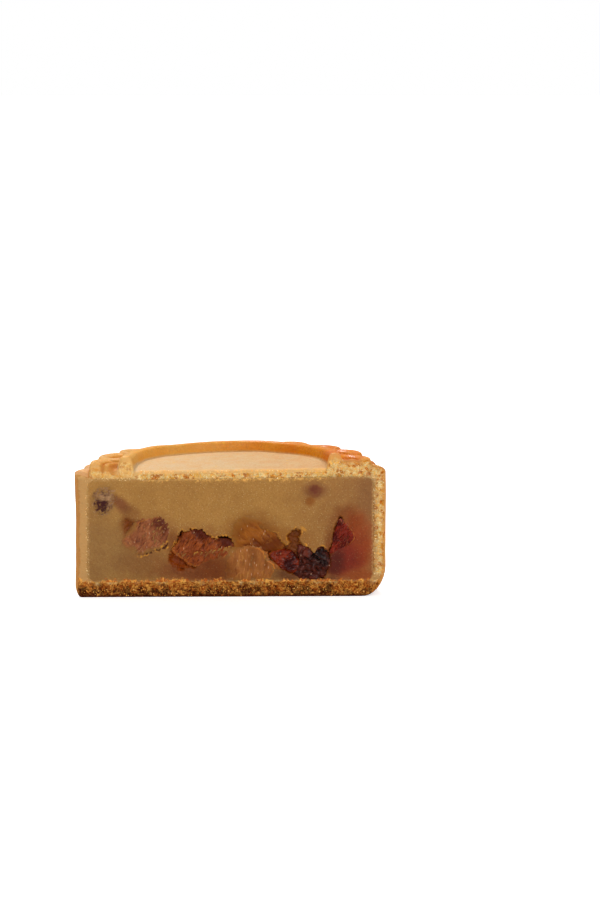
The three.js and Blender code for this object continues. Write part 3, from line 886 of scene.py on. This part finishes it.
def makeFibreGroup():  # long fibres in the plane of the cut, turned by Turn, and thin bright strands
    inputs = {"Place": "Vector", "Turn": "Float", "Scale": "Float", "Swirl": "Float"}
    outputs = {"Streaks": "Float", "Strands": "Float", "Height": "Float"}
    group, given, result = newGroup("fruitFibres", inputs, outputs)
    scale, swirl = given["Scale"], given["Swirl"]
    turning = {"Vector": given["Place"], "Axis": (0.0, 1.0, 0.0), "Angle": given["Turn"]}
    turned = addNode(group, "VectorRotate", {"rotation_type": "AXIS_ANGLE"}, turning).outputs[0]
    stretched = addNode(group, "Mapping", None, {"Vector": turned, "Scale": (0.28, 1.0, 1.0)}).outputs[0]
    streaks = noiseAt(stretched, scale, 4.0, 0.6, swirl)
    blotches = noiseAt(given["Place"], times(scale, 0.3))
    thin = noiseAt(stretched, times(scale, 0.55), 2.0, 0.55, swirl)
    away = calculate("ABSOLUTE", minus(thin, 0.5))
    strands = times(remap(away, 0.0, 0.035, 1.0, 0.0), remap(blotches, 0.46, 0.62))
    feed(result["Streaks"], remap(plus(times(streaks, 0.65), times(blotches, 0.35)), 0.3, 0.7))
    feed(result["Strands"], strands)
    feed(result["Height"], plus(streaks, times(strands, 0.3)))
    return group


pasteColours = {
    "middle": colour(169, 122, 60),
    "right": colour(158, 110, 58),
    "wet": (0.42, 0.32, 0.26, 1.0),
    # painted sparkle: glints of light off the sugar grains in the paste
    "sparkle": colour(236, 204, 140),
}


def makePasteToneGroup():  # the paste's colour, darker towards its right side, with what the fruit lent it
    inputs = {"Place": "Vector", "Stain": "Color", "Amount": "Float"}
    group, given, result = newGroup("pasteTone", inputs, {"Tone": "Color"})
    place = given["Place"]
    across, high = acrossAndHigh(place)
    mottle = placeGroup("grain", {"Place": place, "Scale": 1900.0})["Mottle"]
    tone = mixColours(band(across, "pasteRight"), pasteColours["middle"], pasteColours["right"])
    tone = mixColours(given["Amount"], tone, given["Stain"])
    depth = plus(times(mottle, 0.16), remap(noiseAt(place, 130.0), 0.4, 0.7, 0.0, 0.14))
    feed(result["Tone"], mixColours(depth, tone, pasteColours["wet"], "MULTIPLY"))
    return group


def makeStrandGroup():  # the curly light strands of torn crumb, coarse ones and finer ones
    inputs = {"Place": "Vector", "Scale": "Float"}
    group, given, result = newGroup("crumbStrands", inputs, {"Strands": "Float"})
    layers = []
    for finer, width, share in ((1.0, 0.085, 0.6), (2.1, 0.1, 0.4)):
        curls = noiseAt(given["Place"], times(given["Scale"], finer), 1.0, 0.55, 0.8)
        away = calculate("ABSOLUTE", minus(curls, 0.5))
        layers.append(times(remap(away, 0.0, width, 1.0, 0.0), share))
    feed(result["Strands"], plus(*layers))
    return group


crumbColours = {
    "pale": colour(255, 232, 172),
    "golden": colour(244, 184, 96),
    "pit": colour(202, 108, 12),
    "smooth": colour(188, 142, 86),
    "smoothTop": colour(224, 174, 104),
    "besidePaste": colour(176, 124, 84),
    "bottomLight": colour(255, 182, 84),
    "bottom": colour(180, 88, 22),
    "bottomDark": colour(84, 24, 2),
    "skin": colour(212, 126, 34),
    "skinLeft": colour(172, 108, 50),
    "yellow": colour(240, 176, 50),
}


def makeBottomGroup():  # the browned crumb of the cake's bottom, darker with Shade
    group, given, result = newGroup("bottomCrumb", {"Place": "Vector", "Shade": "Float"}, {"Tone": "Color"})
    strands = placeGroup("strands", {"Place": given["Place"], "Scale": 620.0})["Strands"]
    tone = mixColours(remap(given["Shade"], 0.3, 0.95), crumbColours["bottom"], crumbColours["bottomDark"])
    lit = times(strands, remap(given["Shade"], 0.2, 1.0, 1.1, 0.35))
    feed(result["Tone"], mixColours(lit, tone, crumbColours["bottomLight"]))
    return group


# Where tones lie on the cake, in metres across or up: start and end, then the strength at each if not 0
# and 1
bands = {
    # paste
    "pasteRight": (0.006, 0.032),
    "discStart": (-0.022, -0.02),
    "discEnd": (0.025, 0.023),
    "nearDisc": (0.0279, 0.0291),
    "atBase": (0.0044, 0.0037),
    # skin
    "toRight": (-0.026, 0.024),
    "belowLedge": (0.0305, 0.0285),
    "lobeTop": (0.0284, 0.0304),
    "lobeTopEnd": (0.0320, 0.0312),
    "foot": (0.0045, 0.0, 0.0, 0.75),
    "underside": (0.0009, 0.0002, 0.0, 0.75),
    "lessBrownLeft": (-0.0365, -0.022, 0.2, 1.0),
    # cut crumb
    "rightWall": (0.031, 0.034),
    "paleTop": (0.0285, 0.0302),
    "darkBottom": (0.0036, 0.0004, -0.16, 0.52),
    "litRight": (0.022, 0.034, 0.0, 0.3),
    "baseLine": (0.0009, 0.0001, 0.0, 0.9),
    "bottom": (0.0052, 0.0032),
    "skinRight": (0.021, 0.024, 0.0, 0.5),
    "skinLeft": (-0.0268, -0.028, 0.0, 0.6),
    "skinBelowTop": (0.0302, 0.0285),
    "skinFades": (0.0, 0.03, 0.65, 0.15),
    "aboveFoot": (0.0012, 0.0026),
    "skinTone": (-0.03, 0.0),
    "skinToneTop": (0.0302, 0.031),
    "aboveBottom": (0.004, 0.0052, 0.12, 1.0),
}


def band(value, name):
    return remap(value, *bands[name])


groups = {"grain": makeGrainGroup(), "flecks": makeFleckGroup(), "fibres": makeFibreGroup()}
groups["pasteTone"] = makePasteToneGroup()
groups["strands"] = makeStrandGroup()
groups["bottom"] = makeBottomGroup()
print("shader groups made:", ", ".join(groups))


def newFinish(name, fixed):  # a material, its tree and its shader's inputs, the fixed ones set
    material = bpy.data.materials.new(name)
    material.use_nodes = True
    tree = material.node_tree
    tree.nodes.clear()
    shader = addNode(tree, "BsdfPrincipled", None, fixed)
    addNode(tree, "OutputMaterial", None, {"Surface": shader.outputs["BSDF"]})
    return material, tree, shader.inputs


def objectPlace(tree):
    return addNode(tree, "TexCoord").outputs["Object"]


def attribute(tree, name):
    return addNode(tree, "Attribute", {"attribute_name": name}).outputs["Fac"]


def pasteToneAt(place):  # the paste's colour at a place, and how stained it is by the piece's own attribute
    stain = addNode(place.id_data, "Attribute", {"attribute_name": "stain"}).outputs
    inputs = {"Place": place, "Stain": stain["Color"], "Amount": stain["Alpha"]}
    return placeGroup("pasteTone", inputs)["Tone"], stain["Alpha"]


def bump(height, distance):
    return addNode(height.id_data, "Bump", None, {"Height": height, "Distance": distance}).outputs["Normal"]


skinColours = {
    "pale": colour(203, 171, 122),
    "paleLeft": colour(208, 180, 139),
    "ledge": colour(176, 108, 40),
    "ledgeLeft": colour(220, 172, 124),
    # darker in the grooves between petals: painted shade
    "valley": colour(172, 88, 16),
    "valleyLeft": colour(176, 94, 20),
    "golden": colour(224, 142, 18),
    "goldenLeft": colour(220, 166, 80),
    "brown": colour(208, 106, 2),
    "brownLeft": colour(224, 156, 62),
    "baked": colour(172, 92, 24),
    "bakedLeft": colour(200, 130, 60),
    "side": colour(182, 122, 66),
    # paler tops of the raised parts at the left: painted top light
    "litTopLeft": colour(228, 176, 112),
    "redFleck": colour(170, 40, 20),
    "yellowFleck": colour(222, 168, 40),
}


def makeSkinFinish():
    fixed = {"IOR": 1.45, "Specular IOR Level": 0.08, "Coat Roughness": 0.24, "Coat IOR": 1.45,
             "Subsurface Weight": 0.12, "Subsurface Radius": (1.0, 0.45, 0.2), "Subsurface Scale": 0.0015}
    material, tree, shader = newFinish("bakedSkin", fixed)
    place = objectPlace(tree)
    across, high = acrossAndHigh(place)
    toRight = band(across, "toRight")

    def toned(name):  # a colour of the skin, from its tone at the left to the one at the right
        return mixColours(toRight, skinColours[name + "Left"], skinColours[name])

    brown, outer = attribute(tree, "brown"), attribute(tree, "outer")
    grain = placeGroup("grain", {"Place": place, "Scale": 1500.0})
    broad = noiseAt(place, 90.0)
    deep, baked = toned("brown"), toned("baked")
    tone = mixColours(outer, toned("pale"), toned("ledge"))
    tone = mixColours(band(high, "belowLedge"), tone, skinColours["side"])
    raised = mixColours(remap(broad, 0.3, 0.7), toned("golden"), deep)
    tone = mixColours(remap(brown, 0.1, 0.6), tone, raised)
    # painted top light: the tops of the raised parts paler towards the left
    onTop = times(remap(brown, 0.6, 0.95), remap(toRight, 0.4, 0.0, 0.0, 0.6))
    tone = mixColours(times(onTop, outer), tone, skinColours["litTopLeft"])
    # painted shade in the grooves between petals
    tone = mixColours(times(attribute(tree, "valley"), 0.85), tone, toned("valley"))

    # baked darker at the tops of the lobes, at the foot and in patches
    lobeTop = times(times(band(high, "lobeTop"), band(high, "lobeTopEnd")), outer)
    browned = larger(times(lobeTop, 0.7), band(high, "foot"))
    patches = remap(noiseAt(place, 240.0, 5.0, 0.65), 0.38, 0.66, 0.0, 0.35)
    patches = times(patches, remap(outer, 0.0, 1.0, 0.35, 1.0))
    browned = plus(times(browned, remap(broad, 0.3, 0.6, 0.5, 1.0)), patches)
    tone = mixColours(times(browned, band(across, "lessBrownLeft")), tone, baked)
    tone = mixColours(times(grain["Mottle"], 0.3), tone, deep)
    pores = remap(noiseAt(place, 2400.0, 2.0, 0.6), 0.5, 0.66, 0.0, 0.32)
    tone = mixColours(pores, tone, baked)
    tone = mixColours(band(high, "underside"), tone, crumbColours["bottomDark"])

    # crumb that the knife drew over the edge, and flecks
    grains = times(remap(noiseAt(place, 900.0), 0.42, 0.58), remap(attribute(tree, "disc"), 0.0, 1.0))
    drawn = mixColours(grains, crumbColours["smoothTop"], crumbColours["golden"])
    tone = mixColours(times(attribute(tree, "knife"), 0.7), tone, drawn)
    for name, scale, size in (("redFleck", 620.0, 0.18), ("yellowFleck", 580.0, 0.2)):
        flecks = placeGroup("flecks", {"Place": place, "Scale": scale, "Amount": 0.05, "Size": size})
        tone = mixColours(times(flecks["Mask"], 0.5), tone, skinColours[name])
    feed(shader["Base Color"], tone)
    feed(shader["Roughness"], remap(grain["Mottle"], 0, 1, 0.38, 0.55))
    glaze = remap(noiseAt(place, 700.0), 0.3, 0.7, 0.3, 1.0)
    feed(shader["Coat Weight"], times(remap(brown, 0.4, 1.0, 0.0, 0.3), glaze))
    feed(shader["Normal"], bump(plus(grain["Height"], times(patches, 0.8)), 0.0003))
    return material


def makeCrumbFinish():
    fixed = {"IOR": 1.4, "Specular IOR Level": 0.1, "Subsurface Weight": 0.1,
             "Subsurface Radius": (1.0, 0.5, 0.25), "Subsurface Scale": 0.001}
    material, tree, shader = newFinish("cutCrumb", fixed)
    place = objectPlace(tree)
    across, high = acrossAndHigh(place)
    relief, rim, rough = (attribute(tree, name) for name in ("relief", "rim", "rough"))
    grain = placeGroup("grain", {"Place": place, "Scale": 1900.0})
    strands = placeGroup("strands", {"Place": place, "Scale": 900.0})["Strands"]

    # open crumb with pits and strands, smoother where the knife pressed it; where the crumb lies deeper it
    # leans a little to the pit colour, painted shade
    pits = plus(noiseAt(place, 800.0, 3.0, 0.6), remap(relief, -0.2, 0.5, -0.06, 0.06))
    tone = mixColours(remap(pits, 0.47, 0.58), crumbColours["golden"], crumbColours["pit"])
    tone = mixColours(remap(noiseAt(place, 420.0, 2.0), 0.48, 0.64, 0.0, 0.5), tone, crumbColours["yellow"])
    tone = mixColours(times(strands, remap(pits, 0.4, 0.62, 1.0, 0.35)), tone, crumbColours["pale"])
    besidePaste = times(remap(rim, 0.35, 0.9, 0.0, 0.5), band(across, "rightWall"))
    tone = mixColours(besidePaste, tone, crumbColours["besidePaste"])
    smooth = mixColours(band(high, "paleTop"), crumbColours["smooth"], crumbColours["smoothTop"])
    tone = mixColours(remap(rough, 0.4, 0.12), tone, smooth)

    # the browned bottom, darker where its crumb lies deeper behind the cut, painted shade in its holes, and
    # darkest along the base
    spots = remap(noiseAt(place, 520.0, 4.0, 0.6), 0.36, 0.64, -0.35, 0.35)
    shade = plus(remap(relief, -0.2, 0.5, 0.25, 0.65), spots)
    shade = minus(plus(shade, band(high, "darkBottom")), band(across, "litRight"))
    bottom = placeGroup("bottom", {"Place": place, "Shade": shade})["Tone"]
    bottom = mixColours(band(high, "baseLine"), bottom, crumbColours["bottomDark"])
    uneven = plus(high, remap(noiseAt(place, 300.0), 0.3, 0.7, -0.001, 0.001))
    tone = mixColours(band(uneven, "bottom"), tone, bottom)

    # skin along the outside, frayed, and paste along the inside
    frayed = plus(rim, remap(noiseAt(place, 700.0), 0.3, 0.7, -0.1, 0.1))
    atEnds = larger(band(across, "skinRight"), band(across, "skinLeft"))
    onSide = larger(times(band(high, "skinBelowTop"), band(across, "skinFades")), atEnds)
    outer = times(remap(frayed, 0.26, 0.04), times(onSide, band(high, "aboveFoot")))
    skin = mixColours(band(across, "skinTone"), crumbColours["skinLeft"], crumbColours["skin"])
    skin = mixColours(band(high, "skinToneTop"), skin, crumbColours["skin"])
    tone = mixColours(outer, tone, skin)
    inner = plus(rim, remap(grain["Mottle"], 0, 1, -0.07, 0.07))
    intoPaste = times(remap(inner, 0.78, 1.12), band(high, "aboveBottom"))
    tone = mixColours(intoPaste, tone, pasteToneAt(place)[0])
    feed(shader["Base Color"], tone)
    feed(shader["Roughness"], remap(grain["Mottle"], 0, 1, 0.55, 0.8))
    feed(shader["Normal"], bump(plus(grain["Height"], times(strands, times(rough, 2.5))), 0.0002))
    return material


def makeLooseCrumbFinish():
    fixed = {"Roughness": 0.7, "IOR": 1.4, "Specular IOR Level": 0.12}
    material, tree, shader = newFinish("looseCrumb", fixed)
    grain = placeGroup("grain", {"Place": objectPlace(tree), "Scale": 2600.0})
    brown = plus(attribute(tree, "brown"), remap(grain["Mottle"], 0, 1, -0.25, 0.25))
    tone = mixColours(remap(brown, 0.0, 0.55), crumbColours["pale"], crumbColours["bottomLight"])
    tone = mixColours(remap(brown, 0.45, 1.1), tone, crumbColours["bottom"])
    feed(shader["Base Color"], tone)
    feed(shader["Normal"], bump(grain["Height"], 0.0001))
    return material


def makePasteFinish():
    fixed = {"IOR": 1.45, "Specular IOR Level": 0.15, "Subsurface Weight": 0.25,
             "Subsurface Radius": (1.0, 0.5, 0.2), "Subsurface Scale": 0.0012}
    material, tree, shader = newFinish("lotusPaste", fixed)
    place = objectPlace(tree)
    across, high = acrossAndHigh(place)
    grain = placeGroup("grain", {"Place": place, "Scale": 1700.0})
    tone, stained = pasteToneAt(place)
    fibres = placeGroup("fibres", {"Place": place, "Turn": 1.4, "Scale": 900.0, "Swirl": 0.8})
    streaked = times(remap(stained, 0.8, 1.0, 0.0, 0.25), fibres["Streaks"])
    tone = mixColours(streaked, tone, pasteColours["wet"], "MULTIPLY")
    speckled = remap(noiseAt(place, 3600.0, 1.0), 0.4, 0.7, 0.0, 0.2)
    tone = mixColours(speckled, tone, pasteColours["wet"], "MULTIPLY")
    # painted sparkle: small pale flecks for glints off sugar grains, fewer where the paste is stained
    sparkle = placeGroup("flecks", {"Place": place, "Scale": 3200.0, "Amount": 0.2, "Size": 0.3})["Mask"]
    tone = mixColours(times(sparkle, remap(stained, 0.2, 0.9, 0.26, 0.1)), tone, pasteColours["sparkle"])

    # crumb of the crust mixed in along its border, in strands under the disc and browned at the base
    strands = placeGroup("strands", {"Place": place, "Scale": 620.0})["Strands"]
    mixedIn = plus(attribute(tree, "crumb"), remap(noiseAt(place, 2200.0), 0.3, 0.7, -0.3, 0.25))
    tone = mixColours(remap(mixedIn, 0.3, 1.4, 0.0, 0.8), tone, crumbColours["smooth"])
    tufted = plus(high, remap(noiseAt(place, 520.0, 5.0, 0.7), 0.3, 0.7, -0.0008, 0.0008))
    underDisc = times(band(across, "discStart"), band(across, "discEnd"))
    nearDisc = times(times(band(tufted, "nearDisc"), strands), underDisc)
    tone = mixColours(nearDisc, tone, crumbColours["golden"])
    shade = remap(noiseAt(place, 520.0, 4.0, 0.6), 0.34, 0.66, 0.1, 0.6)
    bottom = placeGroup("bottom", {"Place": place, "Shade": shade})["Tone"]
    tone = mixColours(band(tufted, "atBase"), tone, bottom)
    feed(shader["Base Color"], tone)
    feed(shader["Roughness"], remap(stained, 0.3, 1.0, 0.5, 0.36))
    feed(shader["Normal"], bump(grain["Height"], 0.0001))
    return material


# Fruit: dark, light and strand colours, how strong the strands are, roughness, wet coat, where the rim
# starts and ends to run into the paste, how much and how finely it frays, scale, turn and swirl of the
# fibres, how many small painted glints it has, how much light sinks in, and how deep the bump is
fruitFinishes = {
    "nutFinish": {
        "dark": colour(66, 32, 30), "light": colour(192, 146, 102), "strand": colour(214, 172, 118),
        "strands": 0.35, "rough": 0.6, "coat": 0.0, "rim": (0.3, 1.0), "fray": 0.35, "frayScale": 1900.0,
        "scale": 2300.0, "swirl": 1.6, "sink": 0.1,
    },
    "pinkFinish": {
        "dark": colour(92, 40, 22), "light": colour(164, 98, 58), "strand": colour(206, 150, 100),
        "strands": 0.3, "rough": 0.4, "coat": 0.25, "rim": (0.62, 1.0), "fray": 0.14, "frayScale": 500.0,
        "scale": 1500.0, "turn": 1.05, "glints": 0.05,
    },
    "redFibreFinish": {
        "dark": colour(82, 26, 6), "light": colour(156, 76, 30), "strand": colour(214, 136, 70),
        "strands": 0.35, "rough": 0.35, "coat": 0.35, "rim": (0.86, 1.04), "scale": 1700.0, "turn": 1.0,
        "glints": 0.05,
    },
    "amberFinish": {
        "dark": colour(104, 46, 4), "light": colour(158, 90, 24), "strand": colour(206, 138, 60),
        "strands": 0.15, "rough": 0.3, "coat": 0.25, "rim": (0.5, 1.0), "fray": 0.12, "frayScale": 400.0,
        "scale": 420.0, "turn": 2.3, "swirl": 2.4, "glints": 0.1, "sink": 0.4, "bump": 0.00006,
    },
    "melonFinish": {
        "dark": colour(120, 64, 22), "light": colour(168, 104, 48), "strand": colour(226, 160, 80),
        "rough": 0.3, "coat": 0.35, "rim": (0.76, 1.06), "fray": 0.12, "frayScale": 500.0, "scale": 460.0,
        "turn": 1.45, "swirl": 2.4, "glints": 0.12, "sink": 0.4, "bump": 0.0001,
    },
    "glossyRedFinish": {
        "dark": colour(58, 8, 4), "light": colour(142, 44, 10), "strand": colour(214, 110, 50),
        "rough": 0.22, "coat": 0.8, "rim": (1.2, 1.4), "scale": 1100.0, "turn": 0.6, "swirl": 0.6,
        "glints": 0.04,
    },
    "raisinFinish": {
        "dark": colour(26, 6, 5), "light": colour(104, 42, 26), "strand": colour(170, 130, 110),
        "strands": 0.1, "rough": 0.22, "coat": 0.6, "rim": (1.2, 1.4), "scale": 1300.0, "swirl": 0.8,
        "glints": 0.04, "sink": 0.1,
    },
    "wedgeFinish": {
        "dark": colour(76, 12, 6), "light": colour(134, 38, 18), "strand": colour(196, 100, 72),
        "strands": 0.5, "rough": 0.32, "coat": 0.45, "rim": (0.82, 1.0), "fray": 0.08, "scale": 1500.0,
        "turn": 1.0, "glints": 0.05,
    },
    "specklePurple": {
        "dark": colour(106, 56, 38), "light": colour(124, 70, 44), "strand": colour(150, 104, 70),
        "strands": 0.0, "rough": 0.5, "coat": 0.0, "rim": (0.2, 0.85), "fray": 0.16, "frayScale": 1500.0,
        "scale": 1200.0, "swirl": 0.0,
    },
}
finishDefaults = {
    "strands": 0.25, "fray": 0.1, "frayScale": 900.0, "turn": 0.0, "swirl": 0.3, "glints": 0.0, "sink": 0.2,
    "bump": 0.0003,
}

# painted highlight on a fruit's lip
fruitLipHighlight = colour(204, 122, 44)
# painted glints of light on wet fruit
fruitGlint = colour(232, 190, 150)


def makeFruitFinish(name, look):
    look = finishDefaults | look
    rough, coat, fray = look["rough"], look["coat"], look["fray"]
    fixed = {"IOR": 1.45, "Specular IOR Level": 0.06, "Coat Roughness": 0.12,
             "Subsurface Weight": look["sink"], "Subsurface Radius": (1.0, 0.4, 0.15),
             "Subsurface Scale": 0.0015}
    material, tree, shader = newFinish(name, fixed)
    place = objectPlace(tree)
    drawn = {"Place": place, "Turn": look["turn"], "Scale": look["scale"], "Swirl": look["swirl"]}
    fibres = placeGroup("fibres", drawn)
    # fibres and relief from dark to light, with painted shade in the relief's dips and at the darker places
    shade = plus(times(fibres["Streaks"], 0.55), times(attribute(tree, "relief"), 0.35))
    shade = plus(shade, remap(noiseAt(place, 2600.0, 2.0), 0.3, 0.7, 0.0, 0.2))
    shade = minus(shade, attribute(tree, "dusk"))
    tone = mixColours(shade, look["dark"], look["light"])
    tone = mixColours(times(fibres["Strands"], look["strands"]), tone, look["strand"])
    # painted highlight on the lip
    tone = mixColours(attribute(tree, "lip"), tone, fruitLipHighlight)
    # painted glints: small light flecks for the shine of wet fruit
    drawing = {"Vector": place, "Rotation": (0.0, 0.5, 0.0), "Scale": (1.5, 1.0, 0.5)}
    drawnOut = addNode(tree, "Mapping", None, drawing).outputs[0]
    scattered = {"Place": drawnOut, "Scale": 1900.0, "Amount": look["glints"], "Size": 0.3}
    glints = placeGroup("flecks", scattered)["Mask"]
    tone = mixColours(times(glints, 0.4), tone, fruitGlint)
    frayed = remap(noiseAt(place, look["frayScale"], 4.0), 0.3, 0.7, -fray, fray)
    edge = remap(plus(attribute(tree, "rim"), frayed), *look["rim"])
    tone = mixColours(edge, tone, pasteToneAt(place)[0])
    feed(shader["Base Color"], tone)
    feed(shader["Roughness"], remap(fibres["Streaks"], 0, 1, rough * 0.8, rough * 1.3))
    feed(shader["Coat Weight"], remap(noiseAt(place, 1500.0, 2.0), 0.5, 0.66, coat * 0.15, coat))
    feed(shader["Normal"], bump(fibres["Height"], look["bump"]))
    return material


def finishPiece(bm, name, materials, nodes):
    bmesh.ops.scale(bm, vec=(millimetre,) * 3, verts=bm.verts)
    bmesh.ops.translate(bm, vec=(0, cutPlane, 0), verts=bm.verts)
    mesh = bpy.data.meshes.new(name)
    bm.to_mesh(mesh)
    bm.free()
    mesh.polygons.foreach_set("use_smooth", [True] * len(mesh.polygons))
    for material in materials:
        mesh.materials.append(material)
    piece = bpy.data.objects.new(name, mesh)
    bpy.context.scene.collection.objects.link(piece)
    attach(piece, "root")
    if nodes:
        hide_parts(*nodes)
    print(name, len(mesh.vertices), "points")


finishPiece(buildCrust(), "baked_crust", [makeSkinFinish(), makeCrumbFinish()], ["crust"])
finishPiece(buildPaste(), "lotus_paste", [makePasteFinish()], ["paste"])
for fruitName, fruitShape in fruits.items():
    look = makeFruitFinish(fruitShape["finish"], fruitFinishes[fruitShape["finish"]])
    finishPiece(buildFruit(fruitShape), fruitName + "_fruit", [look], [fruitName])
finishPiece(buildCrumbs(), "crust_crumbs", [makeLooseCrumbFinish()], [])

stage = {
    "floorSize": 12.0,
    "floorTone": (0.8, 0.8, 0.8, 1.0),
    "floorGlow": 0.55,  # added where the camera sees the floor, so that it runs into the background
    "surround": 1.0,  # brightness of the background
    "ambient": 0.4,  # light that it gives
}

# Soft suns: direction the light comes from, strength, and how wide the source is
lamps = {
    "topBack": {"from": (-0.25, 0.8, 1.25), "strength": 2.6, "width": radians(16)},
    "frontFill": {"from": (0.3, -1.0, 0.75), "strength": 1.5, "width": radians(60)},
}

camera = {
    "distance": 0.700,  # in front of the cut
    "height": 0.1342,
    "down": radians(8.0),
    "right": radians(1.37),
    "lens": 117.6,
}


def buildFloor():
    bm = bmesh.new()
    bmesh.ops.create_grid(bm, x_segments=1, y_segments=1, size=stage["floorSize"] / 2)
    mesh = bpy.data.meshes.new("floor")
    bm.to_mesh(mesh)
    bm.free()
    fixed = {"Base Color": stage["floorTone"], "Roughness": 0.9, "Specular IOR Level": 0.0,
             "Emission Color": (1, 1, 1, 1)}
    material, tree, shader = newFinish("paleFloor", fixed)
    seen = addNode(tree, "LightPath").outputs["Is Camera Ray"]
    feed(shader["Emission Strength"], times(seen, stage["floorGlow"]))
    mesh.materials.append(material)
    floor = bpy.data.objects.new("floor", mesh)
    bpy.context.scene.collection.objects.link(floor)


def buildSurround():
    world = bpy.data.worlds.new("surround")
    world.use_nodes = True
    tree = world.node_tree
    tree.nodes.clear()
    seen = addNode(tree, "LightPath").outputs["Is Camera Ray"]
    strength = calculate("MULTIPLY_ADD", seen, stage["surround"] - stage["ambient"], stage["ambient"])
    background = addNode(tree, "Background", None, {"Color": (1, 1, 1, 1), "Strength": strength})
    addNode(tree, "OutputWorld", None, {"Surface": background.outputs[0]})
    bpy.context.scene.world = world


def buildLamps():
    for name, lamp in lamps.items():
        light = bpy.data.lights.new(name, "SUN")
        light.energy = lamp["strength"]
        light.angle = lamp["width"]
        holder = bpy.data.objects.new(name, light)
        holder.rotation_euler = Vector(lamp["from"]).to_track_quat("Z", "Y").to_euler()
        bpy.context.scene.collection.objects.link(holder)


def buildCamera():
    data = bpy.data.cameras.new("camera")
    data.lens = camera["lens"]
    data.clip_start, data.clip_end = 0.01, 20
    holder = bpy.data.objects.new("camera", data)
    holder.location = (0, cutPlane - camera["distance"], camera["height"])
    holder.rotation_euler = (pi / 2 - camera["down"], 0, -camera["right"])
    bpy.context.scene.collection.objects.link(holder)
    bpy.context.scene.camera = holder


buildFloor()
buildSurround()
buildLamps()
buildCamera()
bpy.context.scene.view_settings.view_transform = "Standard"
print("stage set")
